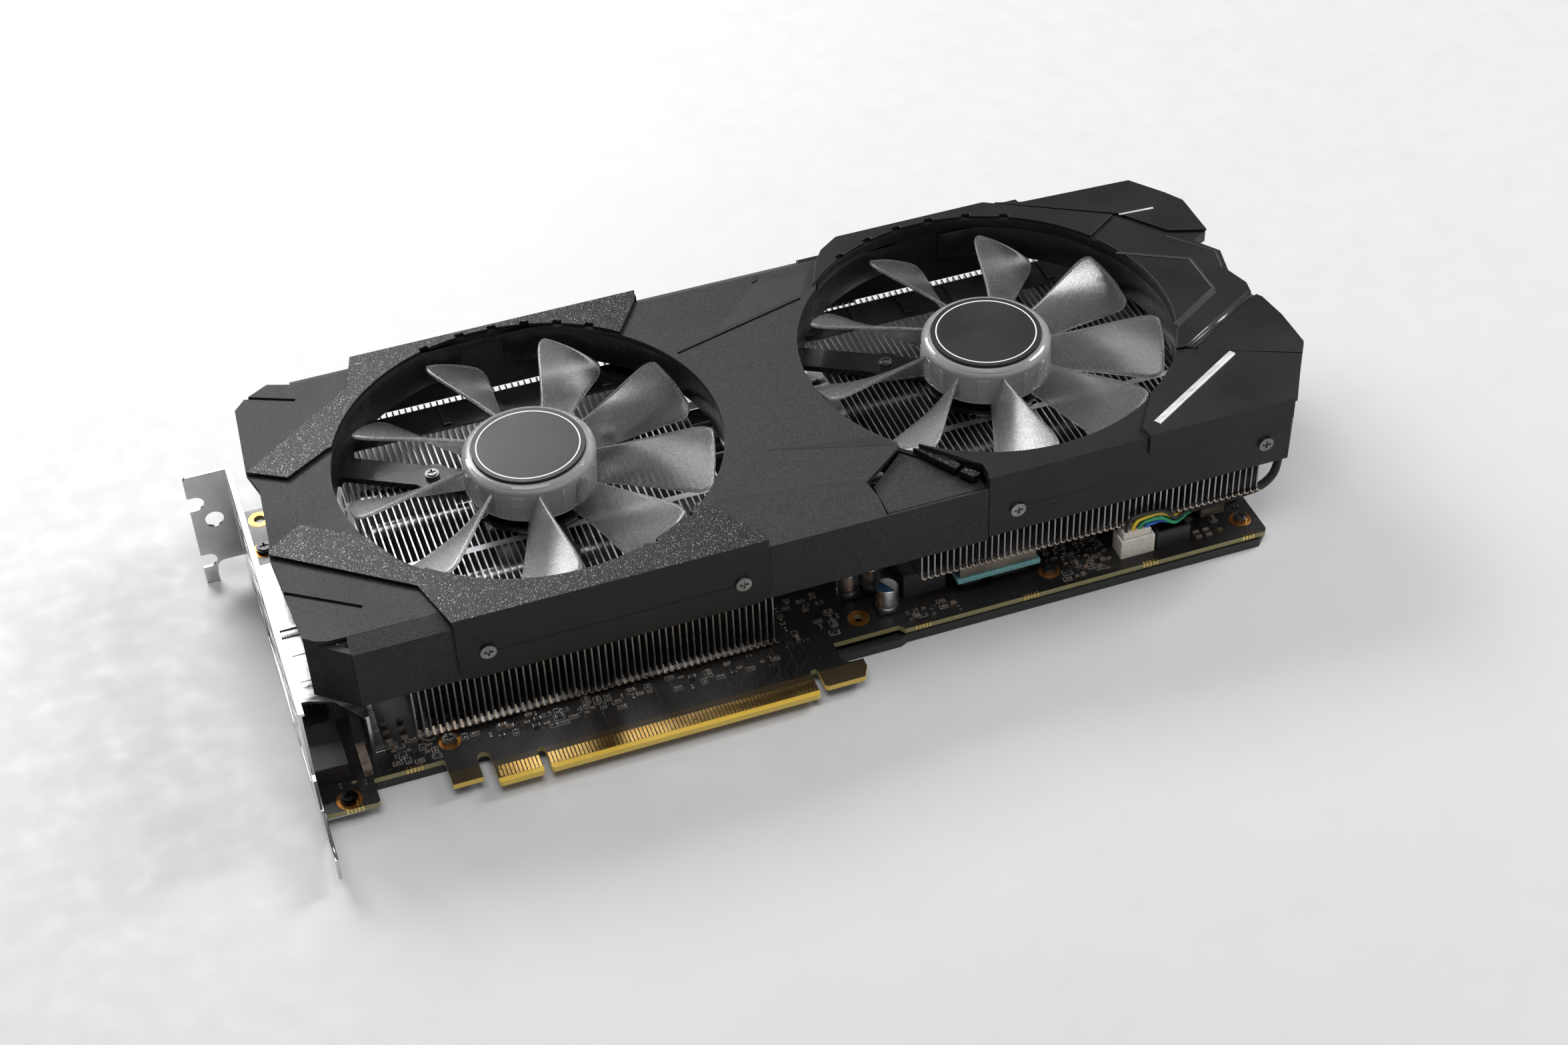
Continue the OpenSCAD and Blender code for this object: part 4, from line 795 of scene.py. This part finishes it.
def centre_details():
    """Facets, spikes and creases of the grey centre as thin dark patches of painted shade, and the ledge
    beside the seam.
    """
    # Painted shade: near-black and dark grey stand for the facets and creases that lie in shade
    dark = tint("facet_painted_shade_dark", (0.003, 0.003, 0.003), (0.006, 0.006, 0.006), 0.6, 0.0, 4200, 0.00005)
    shade = tint("facet_painted_shade", (0.009, 0.009, 0.0095), (0.024, 0.024, 0.025), 0.58, 0.0, 4200, 0.00008)
    bm = bmesh.new()
    low = GREY_TOP - 0.3
    add_prism(bm, [(77.3, 52.6), (109.4, 42.2), (106.5, 47.1)], low, GREY_TOP + 0.05)
    add_prism(bm, [(97.2, 122.6), (99.0, 123.4), (99.4, 126.2)], low, GREY_TOP + 0.35, 0, 0.1)
    add_prism(bm, [(98.4, 122.6), (80.4, 104.9), (108.4, 112.5), (113.6, 121.4)], low, GREY_TOP + 0.04, 1)
    add_rail(bm, [(-44.2, 66.6), (-43.6, 76.0), (-44.2, 86.2)], ridge(0.22, low, GREY_TOP + 0.12, 0.1), 1)
    fold = [(55.4, 39.0), (92.4, 33.4), (97.6, 31.6), (110.2, 41.2)]
    add_rail(bm, fold, ridge(0.12, low, GREY_TOP + 0.06, 0.05), 1)
    piece("centre_facets", from_bmesh(bm, "facets"), [dark, shade])

    bm = bmesh.new()
    long_part = [(113.2, 39.2), (116.9, 32.4), (120.3, 27.2), (122.4, 28.4), (119.6, 35.2)]
    short_part = [(120.9, 26.2), (123.3, 22.9), (126.0, 23.5), (123.0, 27.6)]
    add_prism(bm, long_part, 37.3, 39.4, 0, 0.35)
    add_prism(bm, short_part, 37.3, 39.2, 0, 0.35)
    ledge = piece("seam_ledge", from_bmesh(bm, "ledge"), [MATS["trim_sparkle"].material])
    soften(ledge, 0.12, 2, 25, weld=False)


def motor_leads():
    """Three coloured leads in the gap beside the right motor arm."""
    colours = [tint("lead_blue", (0.01, 0.06, 0.5), (0.02, 0.12, 0.75), 0.35),
               tint("lead_green", (0.03, 0.3, 0.22), (0.06, 0.45, 0.33), 0.35),
               tint("lead_red", (0.5, 0.03, 0.012), (0.7, 0.07, 0.02), 0.35)]
    bm = bmesh.new()
    for i in range(3):
        x = 151.6 + 1.0 * i
        route = [(x + 0.9, 37.5, 25.4), (x + 0.6, 34, 26.4), (x, 28.5, 26.7), (x - 0.6, 23.5, 25.2)]
        add_tube(bm, route, 0.45, 12, i)
    piece("motor_leads", from_bmesh(bm, "leads", True), colours)


def far_shade_shelves():
    """Dark shelf laid over the far ends of the fins as painted shade, whose last edges show beyond it, and a
    wall by the seam.
    """
    bm = bmesh.new()
    for x0, x1 in ((-33.0, 72.0), (103.6, 206.4)):
        # Painted shade: dark pieces fill the shaded region past the far ends of the fins
        add_prism(bm, rectangle(x0, x1, 111.0, 121.9), 23.05, 23.5, 0, 0.15)
        add_prism(bm, rectangle(x0 - 8, x0 + 4.4, 106.0, 128.7), 22.0, 23.3, 0, 0.15)
        for k in range(7):
            x = x0 + 6 + k * (x1 - x0 - 14) / 6
            add_prism(bm, rectangle(x, x + 2.4, 112.2, 120.4), 23.45, 24.3, 0, 0.25)
    add_prism(bm, rectangle(113.0, 130.4, 128.9, 130.3), 18.6, 37.5, 0, 0.2)
    black = MATS["duct_black"].material
    shade_shelves = piece("far_shade_shelves", from_bmesh(bm, "shade_shelves"), [black])
    soften(shade_shelves, 0.1, 2, 25, weld=False)


def fin_feet():
    """The bent foot of each fin along the near edge, tinted warm as a painted reflection of the plate."""
    bm = bmesh.new()
    for x0, count, low in ((-28.4, 54, 1.2), (108.4, 55, 9.7)):
        for i in range(count):
            x = x0 + FIN_PITCH * i
            add_box(bm, (x - 0.02, 20.45, low - 0.04), (x + 1.28, 23.6, low + 0.34), 0, 0.06)
            add_box(bm, (x - 0.02, 20.45, low - 0.04), (x + 0.42, 21.1, low + 1.1), 0, 0.04)
    # Painted reflection: the feet take the warm tone of the plate below them
    plate_reflection_tint = rolled_metal("fin_feet", (0.55, 0.45, 0.36), (0.8, 0.7, 0.6), 0.28, (1, 6, 1))
    piece("fin_feet", from_bmesh(bm, "feet"), [plate_reflection_tint.material])


# ---------------------------------------------------------------- build

def dress_cad():
    """Each CAD node takes its slot's material, and most take small rounded edges."""
    slot_of = {s["node"]: s["material_slot"] for s in frame["record"]["subparts"]}
    edges = {"shroud_grey": 0.3, "shroud_black": 0.3, "trim_sparkle": 0.22, "duct_black": 0.2,
             "bracket_chrome": 0.15, "shield_steel": 0.15, "socket_metal": 0.12, "socket_black": 0.2,
             "cap_black": 0.15, "chip_black": 0.15, "header_cream": 0.15, "header_black": 0.12,
             "backplate_paint": 0.25, "plate_alloy": 0.15, "pad_teal": 0.3, "surface_parts": 0.08}
    for name, o in frame["nodes"].items():
        slot = slot_of[name]
        if slot == "cap_black":
            material = cap_material(f"{name}_face", LEFT_FAN if name.startswith("left") else RIGHT_FAN)
        else:
            material = MATS[slot].material
        o.data.materials.clear()
        o.data.materials.append(material)
        if slot in edges:
            soften(o, edges[slot])


def make_floor():
    bm = bmesh.new()
    bmesh.ops.create_grid(bm, x_segments=2, y_segments=2, size=3.0)
    floor = bpy.data.objects.new("studio_floor", from_bmesh(bm, "floor"))
    bpy.context.scene.collection.objects.link(floor)
    paper = tint("floor_paper", (0.585, 0.585, 0.589), (0.595, 0.595, 0.599), 0.6, 0.0, 30, 0.00001)
    floor.data.materials.append(paper)


make_camera()
make_world()
make_light()
MATS.update(make_materials())
make_floor()
dress_cad()
make_fan("left", LEFT_FAN)
make_fan("right", RIGHT_FAN)
ring_pads()
edge_marks()
chip_parts()
board_traces()
capacitor_tops()
fan_wires()
right_end_details()
centre_details()
far_shade_shelves()
motor_leads()
fin_feet()
